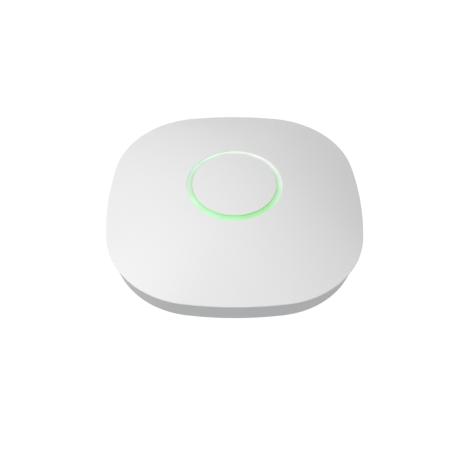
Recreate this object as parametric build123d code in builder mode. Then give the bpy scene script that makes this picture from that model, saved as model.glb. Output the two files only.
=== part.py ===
from build123d import *

import os
from math import atan2, cos, sin, sqrt

# Ceiling access point: a squircle dome on a tapered tray that twist-locks onto a steel bracket.
# Millimetres. The origin is the centre of the bracket's mounting face, which lies on z = 0.
# +Z points away from the ceiling and out through the middle of the dome. The port bay is on the +Y side.

os.makedirs("parts", exist_ok=True)

# ---------------------------------------------------------------- driving dimensions
HALF_WIDTH = 102.5  # centre to the middle of a side, at the rim
OVERALL_HEIGHT = 46.0  # mounting face to the top of the dome
DOME_RISE = 22.8  # rim to the top of the dome
RIM_Z = OVERALL_HEIGHT - DOME_RISE
SIDE_BULGE = 1.70  # a side's radius is (1 + SIDE_BULGE) half widths
CORNER_TIGHTNESS = 0.294  # a corner's radius is (1 - CORNER_TIGHTNESS) half widths

COVER_WALL = 2.4
LIP_DEPTH = 0.6  # the upright edge of the cover, below the rim
SHADOW_GAP = 0.3  # between the cover's edge and the tray
FIT_GAP = 0.3  # between pieces that move past each other

TRAY_BOTTOM_Z = 1.6
TRAY_TOP_Z = RIM_Z - LIP_DEPTH - SHADOW_GAP
TRAY_BOTTOM_HALF = 98.4
TRAY_TOP_HALF = HALF_WIDTH - 0.6
TRAY_WALL = 2.2
FLOOR_TOP_Z = 4.0

RING_MIDDLE = 35.4  # the lit ring, and the circle that its lights stand on
RING_WIDTH = 3.8
RING_GAP = 0.2
RING_RECESS = 0.6  # how far the ring sits below the dome's surface
RING_LEDGE_Z = 37.0  # the skirts of the cap and of the cover end at this level
SKIRT_WALL = 2.2

BRACKET_RADIUS = 70.0
BRACKET_SHEET = 1.2
STUD_CIRCLE = 62.0
STUD_ANGLES = (15, 165, 195, 345)
STUD_RADIUS = 2.0
STUD_HEAD_RADIUS = 3.75
STUD_HEAD_Z = 4.5
STUD_TOP_Z = 6.1
TWIST = 15.0  # degrees from locked to the entry hole

BOARD_Z = 18.6
BOARD_THICKNESS = 1.6
BOARD_TOP_Z = BOARD_Z + BOARD_THICKNESS
BOARD_HALF_X = 56.0
BOARD_FRONT_Y = -56.0
BOARD_BACK_Y = 33.6
POST_X = 48.0  # board posts, from the centre
POST_FRONT_Y = -44.0
POST_BACK_Y = 20.0

BAY_HALF_X = 34.0
BAY_FRONT_Y = 36.0
BAY_BACK_Y = 74.0
BAY_CEILING_Z = 19.8
BAY_WALL = 2.0
CHANNEL_HALF_X = 8.0
CHANNEL_TOP_Z = 12.0

HOUSING_SCREW = 64.0  # along X and along Y from the centre
ANTENNA_X = 77.0
ANTENNA_Y = 30.0
LED_COUNT = 12

RING_INNER = RING_MIDDLE - RING_WIDTH / 2
RING_OUTER = RING_MIDDLE + RING_WIDTH / 2
CAP_RADIUS = RING_INNER - RING_GAP
RING_OPENING = RING_OUTER + RING_GAP

# screws and the holes they bite into or pass through, as radii
SMALL_SHANK = 1.1
SMALL_HEAD = 2.4
SMALL_HEAD_HEIGHT = 1.5
SMALL_PILOT = 1.15
SMALL_CLEARANCE = 1.3
LARGE_SHANK = 1.45
LARGE_HEAD = 3.0
LARGE_HEAD_HEIGHT = 2.2
LARGE_PILOT = 1.5
LARGE_CLEARANCE = 1.7
LARGE_SCREW_TIP_Z = 26.0
EAR_SCREW_TIP_Z = 38.0
PILOT_DEPTH_LEFT = 0.5  # a pilot hole goes this much deeper than the large screw's tip


def squircle(half_width, squareness=1.0, mode=Mode.ADD):
    """Eight tangent arcs: four shallow sides and four tight corners. Squareness 0 gives a circle."""
    steepness = SIDE_BULGE + CORNER_TIGHTNESS
    reach = (sqrt(2 * steepness**2 - SIDE_BULGE**2) - SIDE_BULGE) / 2
    handover = atan2(reach, reach + SIDE_BULGE)
    side_radius = half_width * (1 + squareness * SIDE_BULGE)
    corner_radius = half_width * (1 - squareness * CORNER_TIGHTNESS)
    end_x = side_radius * sin(handover)
    end_y = half_width - side_radius + side_radius * cos(handover)
    diagonal = squareness * half_width * reach + corner_radius / sqrt(2)
    eighth = ((-end_x, end_y), (0, half_width), (end_x, end_y), (diagonal, diagonal), (end_y, end_x))
    with BuildLine() as outline:
        for quarter in range(4):
            points = [Vector(*point).rotate(Axis.Z, -90 * quarter) for point in eighth]
            ThreePointArc(*points[0:3])
            ThreePointArc(*points[2:5])
    make_face(outline.edges(), mode=mode)


def dome_z(radius):
    """Height of the dome's surface at this distance from the middle, measured towards a side."""
    return RIM_Z + DOME_RISE * (1 - (radius / HALF_WIDTH) ** 2)


def dome_slope(radius):
    """Angle of the dome's surface from level, in radians."""
    return atan2(2 * DOME_RISE * radius, HALF_WIDTH**2)


def dome_squareness(radius):
    """1 at the rim, falling to 0, a circle, at the ring's opening."""
    share = (radius - RING_OPENING) / (HALF_WIDTH - RING_OPENING)
    return max(0.0, share) ** 1.3


def tray_half(z):
    """Half width of the tray's outer face at this height."""
    share = (z - TRAY_BOTTOM_Z) / (TRAY_TOP_Z - TRAY_BOTTOM_Z)
    return TRAY_BOTTOM_HALF + share * (TRAY_TOP_HALF - TRAY_BOTTOM_HALF)


def block(x_range, y_range, z_range, mode=Mode.ADD):
    """A plain block between these limits, as pairs of lowest and highest."""
    middle = [(low + high) / 2 for low, high in (x_range, y_range, z_range)]
    sides = [high - low for low, high in (x_range, y_range, z_range)]
    with BuildSketch(Plane.XY.offset(z_range[0])) as outline:
        with Locations((middle[0], middle[1])):
            Rectangle(sides[0], sides[1])
    extrude(outline.sketch, amount=sides[2], mode=mode)


def discs(radius, places, z_range, mode=Mode.ADD):
    """Upright round pillars, or holes, of one radius at each place."""
    with BuildSketch(Plane.XY.offset(z_range[0])) as outline:
        with Locations(*places):
            Circle(radius)
    extrude(outline.sketch, amount=z_range[1] - z_range[0], mode=mode)


def on_circle(radius, angles):
    """Places on a circle round the middle, at these angles in degrees."""
    return [tuple(Vector(radius, 0).rotate(Axis.Z, angle))[:2] for angle in angles]


def corners(x, front_y, back_y):
    """The four corners of a rectangle that is centred in X."""
    return [(-x, front_y), (x, front_y), (-x, back_y), (x, back_y)]


def twist_slots(width, entry_radius, z_range, mode=Mode.ADD):
    """An arc slot for each stud, running from its locked place to its entry hole."""
    with BuildSketch(Plane.XY.offset(z_range[0])) as outline:
        for angle in STUD_ANGLES:
            travel = CenterArc((0, 0), STUD_CIRCLE, angle, -TWIST, mode=Mode.PRIVATE)
            SlotArc(travel, width)
            with Locations(on_circle(STUD_CIRCLE, [angle - TWIST])[0]):
                Circle(entry_radius)
    extrude(outline.sketch, amount=z_range[1] - z_range[0], mode=mode)


def save(builder, name):
    """Labels a finished piece and writes its STEP file."""
    builder.part.label = name
    export_step(builder.part, f"parts/{name}.step")


# ---------------------------------------------------------------- bracket: pressed steel
CUTOUT_HALF_X = 22.0
CUTOUT_FRONT_Y = 18.0
CEILING_SCREW_CIRCLE = 50.0
CEILING_SCREW_RADIUS = 2.25
BOX_SCREW_SPACING = 83.3
BOX_SLOT_LENGTH = 10.0
CUTOUT_INNER_RADIUS = 6.0
CUTOUT_OUTER_RADIUS = 2.5

with BuildPart() as mounting_bracket:
    with BuildSketch():
        Circle(BRACKET_RADIUS)
        with Locations((0, CUTOUT_FRONT_Y + BRACKET_RADIUS / 2)):
            Rectangle(2 * CUTOUT_HALF_X, BRACKET_RADIUS, mode=Mode.SUBTRACT)
        with PolarLocations(CEILING_SCREW_CIRCLE, 4, start_angle=45):
            Circle(CEILING_SCREW_RADIUS, mode=Mode.SUBTRACT)
        with GridLocations(BOX_SCREW_SPACING, 0, 2, 1):
            SlotOverall(BOX_SLOT_LENGTH, 2 * CEILING_SCREW_RADIUS, mode=Mode.SUBTRACT)
        with Locations(*on_circle(STUD_CIRCLE, STUD_ANGLES)):
            Circle(STUD_RADIUS, mode=Mode.SUBTRACT)
    extrude(amount=BRACKET_SHEET)
    near_cutout = (-CUTOUT_HALF_X - 1, CUTOUT_HALF_X + 1)
    cutout_edges = mounting_bracket.edges().filter_by(Axis.Z).filter_by_position(Axis.X, *near_cutout)
    fillet(cutout_edges.group_by(Axis.Y)[0], CUTOUT_INNER_RADIUS)
    fillet(mounting_bracket.edges().filter_by(Axis.Z).group_by(Axis.Y)[-1], CUTOUT_OUTER_RADIUS)
save(mounting_bracket, "mounting_bracket")

with BuildPart() as bracket_studs:
    stud_places = on_circle(STUD_CIRCLE, STUD_ANGLES)
    discs(STUD_RADIUS, stud_places, (0, STUD_HEAD_Z))
    discs(STUD_HEAD_RADIUS, stud_places, (STUD_HEAD_Z, STUD_TOP_Z))
    chamfer(bracket_studs.edges().filter_by(GeomType.CIRCLE).group_by(Axis.Z)[-1], 0.5)
save(bracket_studs, "bracket_studs")

# ---------------------------------------------------------------- front cover: domed shell
OUTER_SECTIONS = [share * HALF_WIDTH for share in (1.0, 0.9, 0.76, 0.6, 0.47)] + [RING_OPENING]
INNER_SECTIONS = [share * HALF_WIDTH for share in (0.975, 0.88, 0.74, 0.58, 0.45, 0.34)]
RIM_EDGE_RADIUS = 0.4
TONGUE_DEPTH = 2.0
TONGUE_WALL = 1.5
TONGUE_DRAFT = 0.5  # the tray's wall leans inwards by this much beside the tongue
COVER_BOSS_RADIUS = 4.0
COVER_BOSS_Z = 18.2
CARRIER_SCREW_CIRCLE = 48.0
CARRIER_ANGLES = (90, 210, 330)
EAR_TOP_Z = 33.2
EAR_BOSS_RADIUS = 3.2

with BuildPart() as cover_outside:
    for radius in OUTER_SECTIONS:
        with BuildSketch(Plane.XY.offset(dome_z(radius))):
            squircle(radius, dome_squareness(radius))
    loft()
    with BuildSketch(Plane.XY.offset(RIM_Z - LIP_DEPTH)):
        squircle(HALF_WIDTH)
    extrude(amount=LIP_DEPTH)
    fillet([edge for edge in cover_outside.edges() if abs(edge.center().Z - RIM_Z) < 0.05], RIM_EDGE_RADIUS)

with BuildPart() as cover_inside:
    for radius in INNER_SECTIONS:
        slope = dome_slope(radius)
        with BuildSketch(Plane.XY.offset(dome_z(radius) - COVER_WALL * cos(slope))):
            squircle(radius - COVER_WALL * sin(slope), dome_squareness(radius))
    loft()

with BuildPart() as cover_bosses:
    discs(RING_OPENING + SKIRT_WALL, [(0, 0)], (RING_LEDGE_Z, OVERALL_HEIGHT))
    screw_corners = corners(HOUSING_SCREW, -HOUSING_SCREW, HOUSING_SCREW)
    discs(COVER_BOSS_RADIUS, screw_corners, (COVER_BOSS_Z, OVERALL_HEIGHT))
    ear_places = on_circle(CARRIER_SCREW_CIRCLE, CARRIER_ANGLES)
    discs(EAR_BOSS_RADIUS, ear_places, (EAR_TOP_Z, OVERALL_HEIGHT))
    with BuildSketch(Plane.XY.offset(COVER_BOSS_Z)) as keep:
        squircle(HALF_WIDTH - TRAY_WALL)
    dome_space = extrude(keep.sketch, amount=RIM_Z - COVER_BOSS_Z, mode=Mode.PRIVATE)
    add(cover_outside.part + dome_space, mode=Mode.INTERSECT)

with BuildPart() as front_cover:
    add(cover_outside.part)
    add(cover_inside.part, mode=Mode.SUBTRACT)
    tongue_half = TRAY_TOP_HALF - TRAY_WALL - FIT_GAP - TONGUE_DRAFT
    with BuildSketch(Plane.XY.offset(TRAY_TOP_Z - TONGUE_DEPTH)):
        squircle(tongue_half)
        squircle(tongue_half - TONGUE_WALL, mode=Mode.SUBTRACT)
    extrude(amount=TONGUE_DEPTH + SHADOW_GAP + LIP_DEPTH)
    add(cover_bosses.part)
    discs(RING_OPENING, [(0, 0)], (RING_LEDGE_Z, OVERALL_HEIGHT), Mode.SUBTRACT)
    large_pilot_z = (COVER_BOSS_Z, LARGE_SCREW_TIP_Z + PILOT_DEPTH_LEFT)
    discs(LARGE_PILOT, screw_corners, large_pilot_z, Mode.SUBTRACT)
    discs(SMALL_PILOT, ear_places, (EAR_TOP_Z, EAR_SCREW_TIP_Z + 0.2), Mode.SUBTRACT)
save(front_cover, "front_cover")

# ---------------------------------------------------------------- centre cap and light ring
POST_RADIUS = 1.5
POST_CIRCLE = 18.0
POST_ANGLES = (30, 150, 270)
STAKE_RADIUS = 2.4  # the posts' ends, melted over behind the carrier's disc
DISC_TOP_Z = 36.0
DISC_BOTTOM_Z = 34.4
POST_END_Z = 33.4
FLANGE = 1.2  # how far the ring's foot reaches under each skirt

with BuildPart() as centre_cap:
    with BuildSketch(Plane.XZ):
        with BuildLine():
            edge_z = dome_z(CAP_RADIUS)
            ThreePointArc((0, OVERALL_HEIGHT), (CAP_RADIUS / 2, dome_z(CAP_RADIUS / 2)), (CAP_RADIUS, edge_z))
            Polyline(
                (CAP_RADIUS, edge_z),
                (CAP_RADIUS, RING_LEDGE_Z),
                (CAP_RADIUS - SKIRT_WALL, RING_LEDGE_Z),
                (CAP_RADIUS - SKIRT_WALL, edge_z - COVER_WALL),
                (0, OVERALL_HEIGHT - COVER_WALL),
                (0, OVERALL_HEIGHT),
            )
        make_face()
    revolve(axis=Axis.Z)
    cap_posts = on_circle(POST_CIRCLE, POST_ANGLES)
    discs(POST_RADIUS, cap_posts, (POST_END_Z, OVERALL_HEIGHT - COVER_WALL - 0.5))
    discs(STAKE_RADIUS, cap_posts, (POST_END_Z, DISC_BOTTOM_Z))
save(centre_cap, "centre_cap")

with BuildPart() as light_ring:
    with BuildSketch(Plane.XZ):
        with BuildLine():
            Polyline(
                (RING_INNER, RING_LEDGE_Z),
                (RING_INNER - FLANGE, RING_LEDGE_Z),
                (RING_INNER - FLANGE, DISC_TOP_Z),
                (RING_OUTER + FLANGE, DISC_TOP_Z),
                (RING_OUTER + FLANGE, RING_LEDGE_Z),
                (RING_OUTER, RING_LEDGE_Z),
                (RING_OUTER, dome_z(RING_OUTER) - RING_RECESS),
                (RING_INNER, dome_z(RING_INNER) - RING_RECESS),
                close=True,
            )
        make_face()
    revolve(axis=Axis.Z)
save(light_ring, "light_ring")

# ---------------------------------------------------------------- ring carrier and light board
LED_BOARD_TOP_Z = 31.6
LED_BOARD_BOTTOM_Z = 30.0
LED_BOARD_INNER = 30.5
LED_BOARD_OUTER = 41.0
EAR_WIDTH = 8.0
EAR_REACH = 51.5
RIB_WIDTH = 1.2
RIB_BOTTOM_Z = 33.2
RIB_LENGTH = RING_WIDTH + 1.0
LED_SIZE = (2.8, 3.5)
LED_HEIGHT = 0.8
INNER_WALL = CAP_RADIUS - SKIRT_WALL
OUTER_WALL = RING_OPENING + SKIRT_WALL


def ears(from_radius, z_range):
    """Three flat screw ears reaching out from this radius."""
    with BuildSketch(Plane.XY.offset(z_range[0])) as outline:
        for angle in CARRIER_ANGLES:
            with Locations(on_circle((from_radius + EAR_REACH) / 2, [angle])[0]):
                Rectangle(EAR_REACH - from_radius, EAR_WIDTH, rotation=angle)
    extrude(outline.sketch, amount=z_range[1] - z_range[0])


with BuildPart() as ring_carrier:
    ears(OUTER_WALL - 1, (LED_BOARD_TOP_Z, EAR_TOP_Z))
    discs(OUTER_WALL, [(0, 0)], (LED_BOARD_TOP_Z, DISC_TOP_Z))
    discs(RING_OPENING, [(0, 0)], (LED_BOARD_TOP_Z, DISC_TOP_Z), Mode.SUBTRACT)
    with BuildSketch(Plane.XY.offset(RIB_BOTTOM_Z)):
        with PolarLocations(RING_MIDDLE, LED_COUNT, start_angle=180 / LED_COUNT):
            Rectangle(RIB_LENGTH, RIB_WIDTH)
    extrude(amount=DISC_TOP_Z - RIB_BOTTOM_Z)
    with BuildSketch(Plane.XY.offset(LED_BOARD_TOP_Z)):
        Circle(CAP_RADIUS)
        Circle(INNER_WALL, mode=Mode.SUBTRACT)
    extrude(amount=DISC_TOP_Z - LED_BOARD_TOP_Z)
    discs(INNER_WALL + 0.1, [(0, 0)], (DISC_BOTTOM_Z, DISC_TOP_Z))
    discs(POST_RADIUS + 0.05, cap_posts, (DISC_BOTTOM_Z, DISC_TOP_Z), Mode.SUBTRACT)
    discs(SMALL_CLEARANCE, ear_places, (LED_BOARD_TOP_Z, EAR_TOP_Z), Mode.SUBTRACT)
save(ring_carrier, "ring_carrier")

with BuildPart() as led_board:
    ears(LED_BOARD_OUTER - 1, (LED_BOARD_BOTTOM_Z, LED_BOARD_TOP_Z))
    discs(LED_BOARD_OUTER, [(0, 0)], (LED_BOARD_BOTTOM_Z, LED_BOARD_TOP_Z))
    discs(LED_BOARD_INNER, [(0, 0)], (LED_BOARD_BOTTOM_Z, LED_BOARD_TOP_Z), Mode.SUBTRACT)
    discs(SMALL_CLEARANCE, ear_places, (LED_BOARD_BOTTOM_Z, LED_BOARD_TOP_Z), Mode.SUBTRACT)
save(led_board, "led_board")

with BuildPart() as ring_leds:
    with BuildSketch(Plane.XY.offset(LED_BOARD_TOP_Z)):
        with PolarLocations(RING_MIDDLE, LED_COUNT):
            Rectangle(*LED_SIZE)
    extrude(amount=LED_HEIGHT)
save(ring_leds, "ring_leds")


def screws(
    places, head_z, tip_z, head_radius=SMALL_HEAD, shank_radius=SMALL_SHANK, head_height=SMALL_HEAD_HEIGHT
):
    """Flat-headed screws. The shank runs from the head's underside, at head_z, to tip_z."""
    away_from_tip = -1 if tip_z > head_z else 1
    discs(head_radius, places, sorted((head_z, head_z + away_from_tip * head_height)))
    discs(shank_radius, places, sorted((head_z, tip_z)))


with BuildPart() as ring_screws:
    screws(ear_places, LED_BOARD_BOTTOM_Z, EAR_SCREW_TIP_Z)
save(ring_screws, "ring_screws")

# ---------------------------------------------------------------- rear housing: moulded tray
TRAY_EDGE_RADIUS = 1.0
TRAY_BOSS_RADIUS = 5.0
SCREW_HEAD_Z = 5.0
POST_OUTER = 3.2
ANTENNA_BOSS_TOP_Z = 12.0
SLOT_WIDTH = 2 * STUD_RADIUS + 2 * FIT_GAP
ENTRY_RADIUS = STUD_HEAD_RADIUS + 0.5
POCKET_TOP_Z = 6.8
POCKET_WALL = 1.6
POCKET_GAP = 0.5
VENT_X = 83.0
VENT_PITCH = 6.5
VENT_SIZE = (14.0, 2.6)
VENT_COUNT = 9
LABEL_SIZE = (54.0, 14.0)
LABEL_Y = -82.0
LABEL_RECESS = 0.3
LABEL_GAP = 0.2
LABEL_SHEET = 0.2
LABEL_CORNER = 1.4
JACK_X = 9.2
JACK_WIDTH = 16.0
JACK_HEIGHT = 13.4
JACK_BACK_Y = 14.6
JACK_FACE_Y = 35.8
JACK_BOTTOM_Z = BOARD_Z - JACK_HEIGHT
BUTTON_X = -25.0
BUTTON_Z = 12.8
BUTTON_RADIUS = 2.2
JACK_GAP = 0.2
POST_PILOT_Z = 10.0  # the blind holes in the posts and in the antenna bosses end here
ANTENNA_PILOT_Z = 6.0

board_posts = corners(POST_X, POST_FRONT_Y, POST_BACK_Y)
antenna_places = corners(ANTENNA_X, -ANTENNA_Y, ANTENNA_Y)

with BuildPart() as tray_outside:
    for z in (TRAY_BOTTOM_Z, TRAY_TOP_Z):
        with BuildSketch(Plane.XY.offset(z)):
            squircle(tray_half(z))
    loft()
    fillet(tray_outside.faces().sort_by(Axis.Z)[0].edges(), TRAY_EDGE_RADIUS)

with BuildPart() as rear_housing:
    add(tray_outside.part)
    for z in (FLOOR_TOP_Z, TRAY_TOP_Z):
        with BuildSketch(Plane.XY.offset(z)):
            squircle(tray_half(z) - TRAY_WALL)
    loft(mode=Mode.SUBTRACT)
    # pockets over the studs, screw bosses, board posts and antenna bosses
    pocket_width = 2 * ENTRY_RADIUS + POCKET_GAP
    wall_width = pocket_width + 2 * POCKET_WALL
    twist_slots(wall_width, wall_width / 2, (FLOOR_TOP_Z, POCKET_TOP_Z + POCKET_WALL))
    discs(TRAY_BOSS_RADIUS, screw_corners, (FLOOR_TOP_Z, COVER_BOSS_Z))
    discs(POST_OUTER, board_posts, (FLOOR_TOP_Z, BOARD_Z))
    discs(POST_OUTER, antenna_places, (FLOOR_TOP_Z, ANTENNA_BOSS_TOP_Z))
    # port bay and the cable channel behind it, both open below
    bay_outer_x = BAY_HALF_X + BAY_WALL
    bay_outer_y = (BAY_FRONT_Y - BAY_WALL, BAY_BACK_Y + BAY_WALL)
    block((-bay_outer_x, bay_outer_x), bay_outer_y, (FLOOR_TOP_Z, BAY_CEILING_Z + BAY_WALL))
    channel_outer_x = CHANNEL_HALF_X + BAY_WALL
    channel_outer_y = (BAY_BACK_Y, TRAY_BOTTOM_HALF - 1)
    block((-channel_outer_x, channel_outer_x), channel_outer_y, (FLOOR_TOP_Z, CHANNEL_TOP_Z + BAY_WALL))
    block((-BAY_HALF_X, BAY_HALF_X), (BAY_FRONT_Y, BAY_BACK_Y), (0, BAY_CEILING_Z), Mode.SUBTRACT)
    channel_x = (-CHANNEL_HALF_X, CHANNEL_HALF_X)
    block(channel_x, (BAY_BACK_Y - 1, HALF_WIDTH), (0, CHANNEL_TOP_Z), Mode.SUBTRACT)
    # openings in the bay's front wall for the two jacks and the button
    for x in (-JACK_X, JACK_X):
        jack_x = (x - JACK_WIDTH / 2 - JACK_GAP, x + JACK_WIDTH / 2 + JACK_GAP)
        front_wall_y = (bay_outer_y[0] - 1, BAY_FRONT_Y + 1)
        block(jack_x, front_wall_y, (JACK_BOTTOM_Z - JACK_GAP, BOARD_Z), Mode.SUBTRACT)
    with BuildSketch(Plane.XZ.offset(-bay_outer_y[0])):
        with Locations((BUTTON_X, BUTTON_Z)):
            Circle(BUTTON_RADIUS + FIT_GAP)
    extrude(amount=-BAY_WALL, mode=Mode.SUBTRACT)
    # slots and entry holes for the bracket's studs
    twist_slots(pocket_width, pocket_width / 2, (FLOOR_TOP_Z - 0.01, POCKET_TOP_Z), Mode.SUBTRACT)
    twist_slots(SLOT_WIDTH, ENTRY_RADIUS, (TRAY_BOTTOM_Z, FLOOR_TOP_Z), Mode.SUBTRACT)
    # screw holes
    discs(LARGE_HEAD + FIT_GAP, screw_corners, (0, SCREW_HEAD_Z), Mode.SUBTRACT)
    discs(LARGE_CLEARANCE, screw_corners, (0, COVER_BOSS_Z), Mode.SUBTRACT)
    discs(SMALL_PILOT, board_posts, (POST_PILOT_Z, BOARD_Z), Mode.SUBTRACT)
    discs(SMALL_PILOT, antenna_places, (ANTENNA_PILOT_Z, ANTENNA_BOSS_TOP_Z), Mode.SUBTRACT)
    # vents and the label's recess
    with BuildSketch(Plane.XY.offset(TRAY_BOTTOM_Z)):
        with GridLocations(2 * VENT_X, VENT_PITCH, 2, VENT_COUNT):
            SlotOverall(*VENT_SIZE)
    extrude(amount=FLOOR_TOP_Z - TRAY_BOTTOM_Z, mode=Mode.SUBTRACT)
    with BuildSketch(Plane.XY.offset(TRAY_BOTTOM_Z)):
        with Locations((0, LABEL_Y)):
            recess_size = [side + 2 * LABEL_GAP for side in LABEL_SIZE]
            RectangleRounded(*recess_size, LABEL_CORNER + LABEL_GAP)
    extrude(amount=LABEL_RECESS, mode=Mode.SUBTRACT)
save(rear_housing, "rear_housing")

with BuildPart() as rating_label:
    with BuildSketch(Plane.XY.offset(TRAY_BOTTOM_Z + LABEL_RECESS - LABEL_SHEET)):
        with Locations((0, LABEL_Y)):
            RectangleRounded(*LABEL_SIZE, LABEL_CORNER)
    extrude(amount=LABEL_SHEET)
save(rating_label, "rating_label")

with BuildPart() as housing_screws:
    screws(screw_corners, SCREW_HEAD_Z, LARGE_SCREW_TIP_Z, LARGE_HEAD, LARGE_SHANK, LARGE_HEAD_HEIGHT)
save(housing_screws, "housing_screws")

# ---------------------------------------------------------------- cable door: closes the side notch
DOOR_LEG_Y = 88.0
DOOR_FACE_Y = 94.6
DOOR_LEG_WALL = 1.5

with BuildPart() as cable_door:
    door_x = CHANNEL_HALF_X - FIT_GAP
    door_z = (TRAY_BOTTOM_Z + FIT_GAP, CHANNEL_TOP_Z - FIT_GAP)
    block((-door_x, door_x), (DOOR_LEG_Y, HALF_WIDTH), door_z)
    block((DOOR_LEG_WALL - door_x, door_x - DOOR_LEG_WALL), (DOOR_LEG_Y, DOOR_FACE_Y), door_z, Mode.SUBTRACT)
    add(tray_outside.part, mode=Mode.INTERSECT)
save(cable_door, "cable_door")

# ---------------------------------------------------------------- main board and its screws
BOARD_CORNER = 3.0
BOARD_HOLE = 1.4
BOARD_SCREW_TIP_Z = 12.0
HEAT_POST_X = 17.5
HEAT_POST_YS = (-43.0, -7.0)
heat_posts = corners(HEAT_POST_X, *HEAT_POST_YS)

with BuildPart() as main_board:
    with BuildSketch(Plane.XY.offset(BOARD_Z)):
        with Locations((0, (BOARD_FRONT_Y + BOARD_BACK_Y) / 2)):
            RectangleRounded(2 * BOARD_HALF_X, BOARD_BACK_Y - BOARD_FRONT_Y, BOARD_CORNER)
    extrude(amount=BOARD_THICKNESS)
    discs(BOARD_HOLE, board_posts + heat_posts, (BOARD_Z, BOARD_TOP_Z), Mode.SUBTRACT)
save(main_board, "main_board")

with BuildPart() as board_screws:
    screws(board_posts + heat_posts, BOARD_TOP_Z, BOARD_SCREW_TIP_Z)
save(board_screws, "board_screws")

# ---------------------------------------------------------------- heat path: cans, pads, heat sink
SHIELD_Z = 16.2
PAD_Z = 15.2
SHIELD_SHEET = 0.3
SHIELD_Y = -25.0
SHIELDS = ((0, 30, 30), (-31, 22, 28), (31, 22, 28))  # middle in X, size in X, size in Y
HEAT_SINK_HALF_X = 43.0
HEAT_SINK_Y = (-47.0, -3.0)
HEAT_SINK_TOP_Z = 6.4
HEAT_SINK_CORNER = 3.0
HEAT_POST_RADIUS = 2.2
HEAT_PILOT_Z = 11.0
PAD_INSET = 4.0
CHIP_INSET = 7.0
CHIP_GAP = 0.4
MEMORY_X = 13.0
MEMORY_HALF_X = 5.0
MEMORY_Y = (-31.0, -19.0)
MEMORY_HEIGHT = 1.0


def on_shields(inset, z_range, mode=Mode.ADD):
    """One block under each shield can, smaller than the can all round by the inset."""
    for x, size_x, size_y in SHIELDS:
        x_range = (x - size_x / 2 + inset, x + size_x / 2 - inset)
        y_range = (SHIELD_Y - size_y / 2 + inset, SHIELD_Y + size_y / 2 - inset)
        block(x_range, y_range, z_range, mode)


with BuildPart() as shield_cans:
    on_shields(0, (SHIELD_Z, BOARD_Z))
    on_shields(SHIELD_SHEET, (SHIELD_Z + SHIELD_SHEET, BOARD_Z), Mode.SUBTRACT)
save(shield_cans, "shield_cans")

with BuildPart() as processors:
    on_shields(CHIP_INSET, (SHIELD_Z + SHIELD_SHEET + CHIP_GAP, BOARD_Z))
save(processors, "processors")

with BuildPart() as thermal_pads:
    on_shields(PAD_INSET, (PAD_Z, SHIELD_Z))
save(thermal_pads, "thermal_pads")

with BuildPart() as heat_sink:
    block((-HEAT_SINK_HALF_X, HEAT_SINK_HALF_X), HEAT_SINK_Y, (FLOOR_TOP_Z, HEAT_SINK_TOP_Z))
    fillet(heat_sink.edges().filter_by(Axis.Z), HEAT_SINK_CORNER)
    on_shields(PAD_INSET, (HEAT_SINK_TOP_Z, PAD_Z))
    discs(HEAT_POST_RADIUS, heat_posts, (HEAT_SINK_TOP_Z, BOARD_Z))
    discs(SMALL_PILOT, heat_posts, (HEAT_PILOT_Z, BOARD_Z), Mode.SUBTRACT)
save(heat_sink, "heat_sink")

with BuildPart() as memory_chips:
    for x in (-MEMORY_X, MEMORY_X):
        memory_x = (x - MEMORY_HALF_X, x + MEMORY_HALF_X)
        block(memory_x, MEMORY_Y, (BOARD_TOP_Z, BOARD_TOP_Z + MEMORY_HEIGHT))
save(memory_chips, "memory_chips")

# ---------------------------------------------------------------- power parts under the board
CORE_X = (-38.0, -24.0)
CORE_LEGS_Y = ((2.0, 4.6), (8.0, 12.0), (15.4, 18.0))
CORE_Z = 8.6
CORE_PLATE = 3.0
CORE_LEG_INSET = 3.0
WINDING_Y = (5.2, 14.8)
WINDING_INSET = 0.4
WINDING_CORNER = 1.5
INDUCTORS_X = (-14.0, -4.0, 6.0)
INDUCTOR_HALF_X = 3.5
INDUCTOR_Y = (2.0, 9.0)
INDUCTOR_HEIGHT = 4.2
CAPACITOR_PLACES = [(20, 7), (30, 7), (26, 17)]
CAPACITOR_RADIUS = 4.0
CAPACITOR_Z = 9.0
CAPACITOR_EDGE = 0.6

with BuildPart() as transformer_core:
    core_y = (CORE_LEGS_Y[0][0], CORE_LEGS_Y[-1][1])
    block(CORE_X, core_y, (CORE_Z, CORE_Z + CORE_PLATE))
    block(CORE_X, core_y, (BOARD_Z - CORE_PLATE, BOARD_Z))
    for leg_y in CORE_LEGS_Y:
        block((CORE_X[0] + CORE_LEG_INSET, CORE_X[1] - CORE_LEG_INSET), leg_y, (CORE_Z, BOARD_Z))
save(transformer_core, "transformer_core")

with BuildPart() as transformer_winding:
    winding_z = (CORE_Z + CORE_PLATE, BOARD_Z - CORE_PLATE)
    block((CORE_X[0] + WINDING_INSET, CORE_X[1] - WINDING_INSET), WINDING_Y, winding_z)
    fillet(transformer_winding.edges().filter_by(Axis.Z), WINDING_CORNER)
    leg_x = (CORE_X[0] + CORE_LEG_INSET, CORE_X[1] - CORE_LEG_INSET)
    block(leg_x, CORE_LEGS_Y[1], winding_z, Mode.SUBTRACT)
save(transformer_winding, "transformer_winding")

with BuildPart() as power_inductors:
    for x in INDUCTORS_X:
        block((x - INDUCTOR_HALF_X, x + INDUCTOR_HALF_X), INDUCTOR_Y, (BOARD_Z - INDUCTOR_HEIGHT, BOARD_Z))
    fillet(power_inductors.edges().filter_by(Axis.Z), 1)
save(power_inductors, "power_inductors")

with BuildPart() as power_capacitors:
    discs(CAPACITOR_RADIUS, CAPACITOR_PLACES, (CAPACITOR_Z, BOARD_Z))
    fillet(power_capacitors.edges().filter_by(GeomType.CIRCLE).group_by(Axis.Z)[0], CAPACITOR_EDGE)
save(power_capacitors, "power_capacitors")

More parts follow.
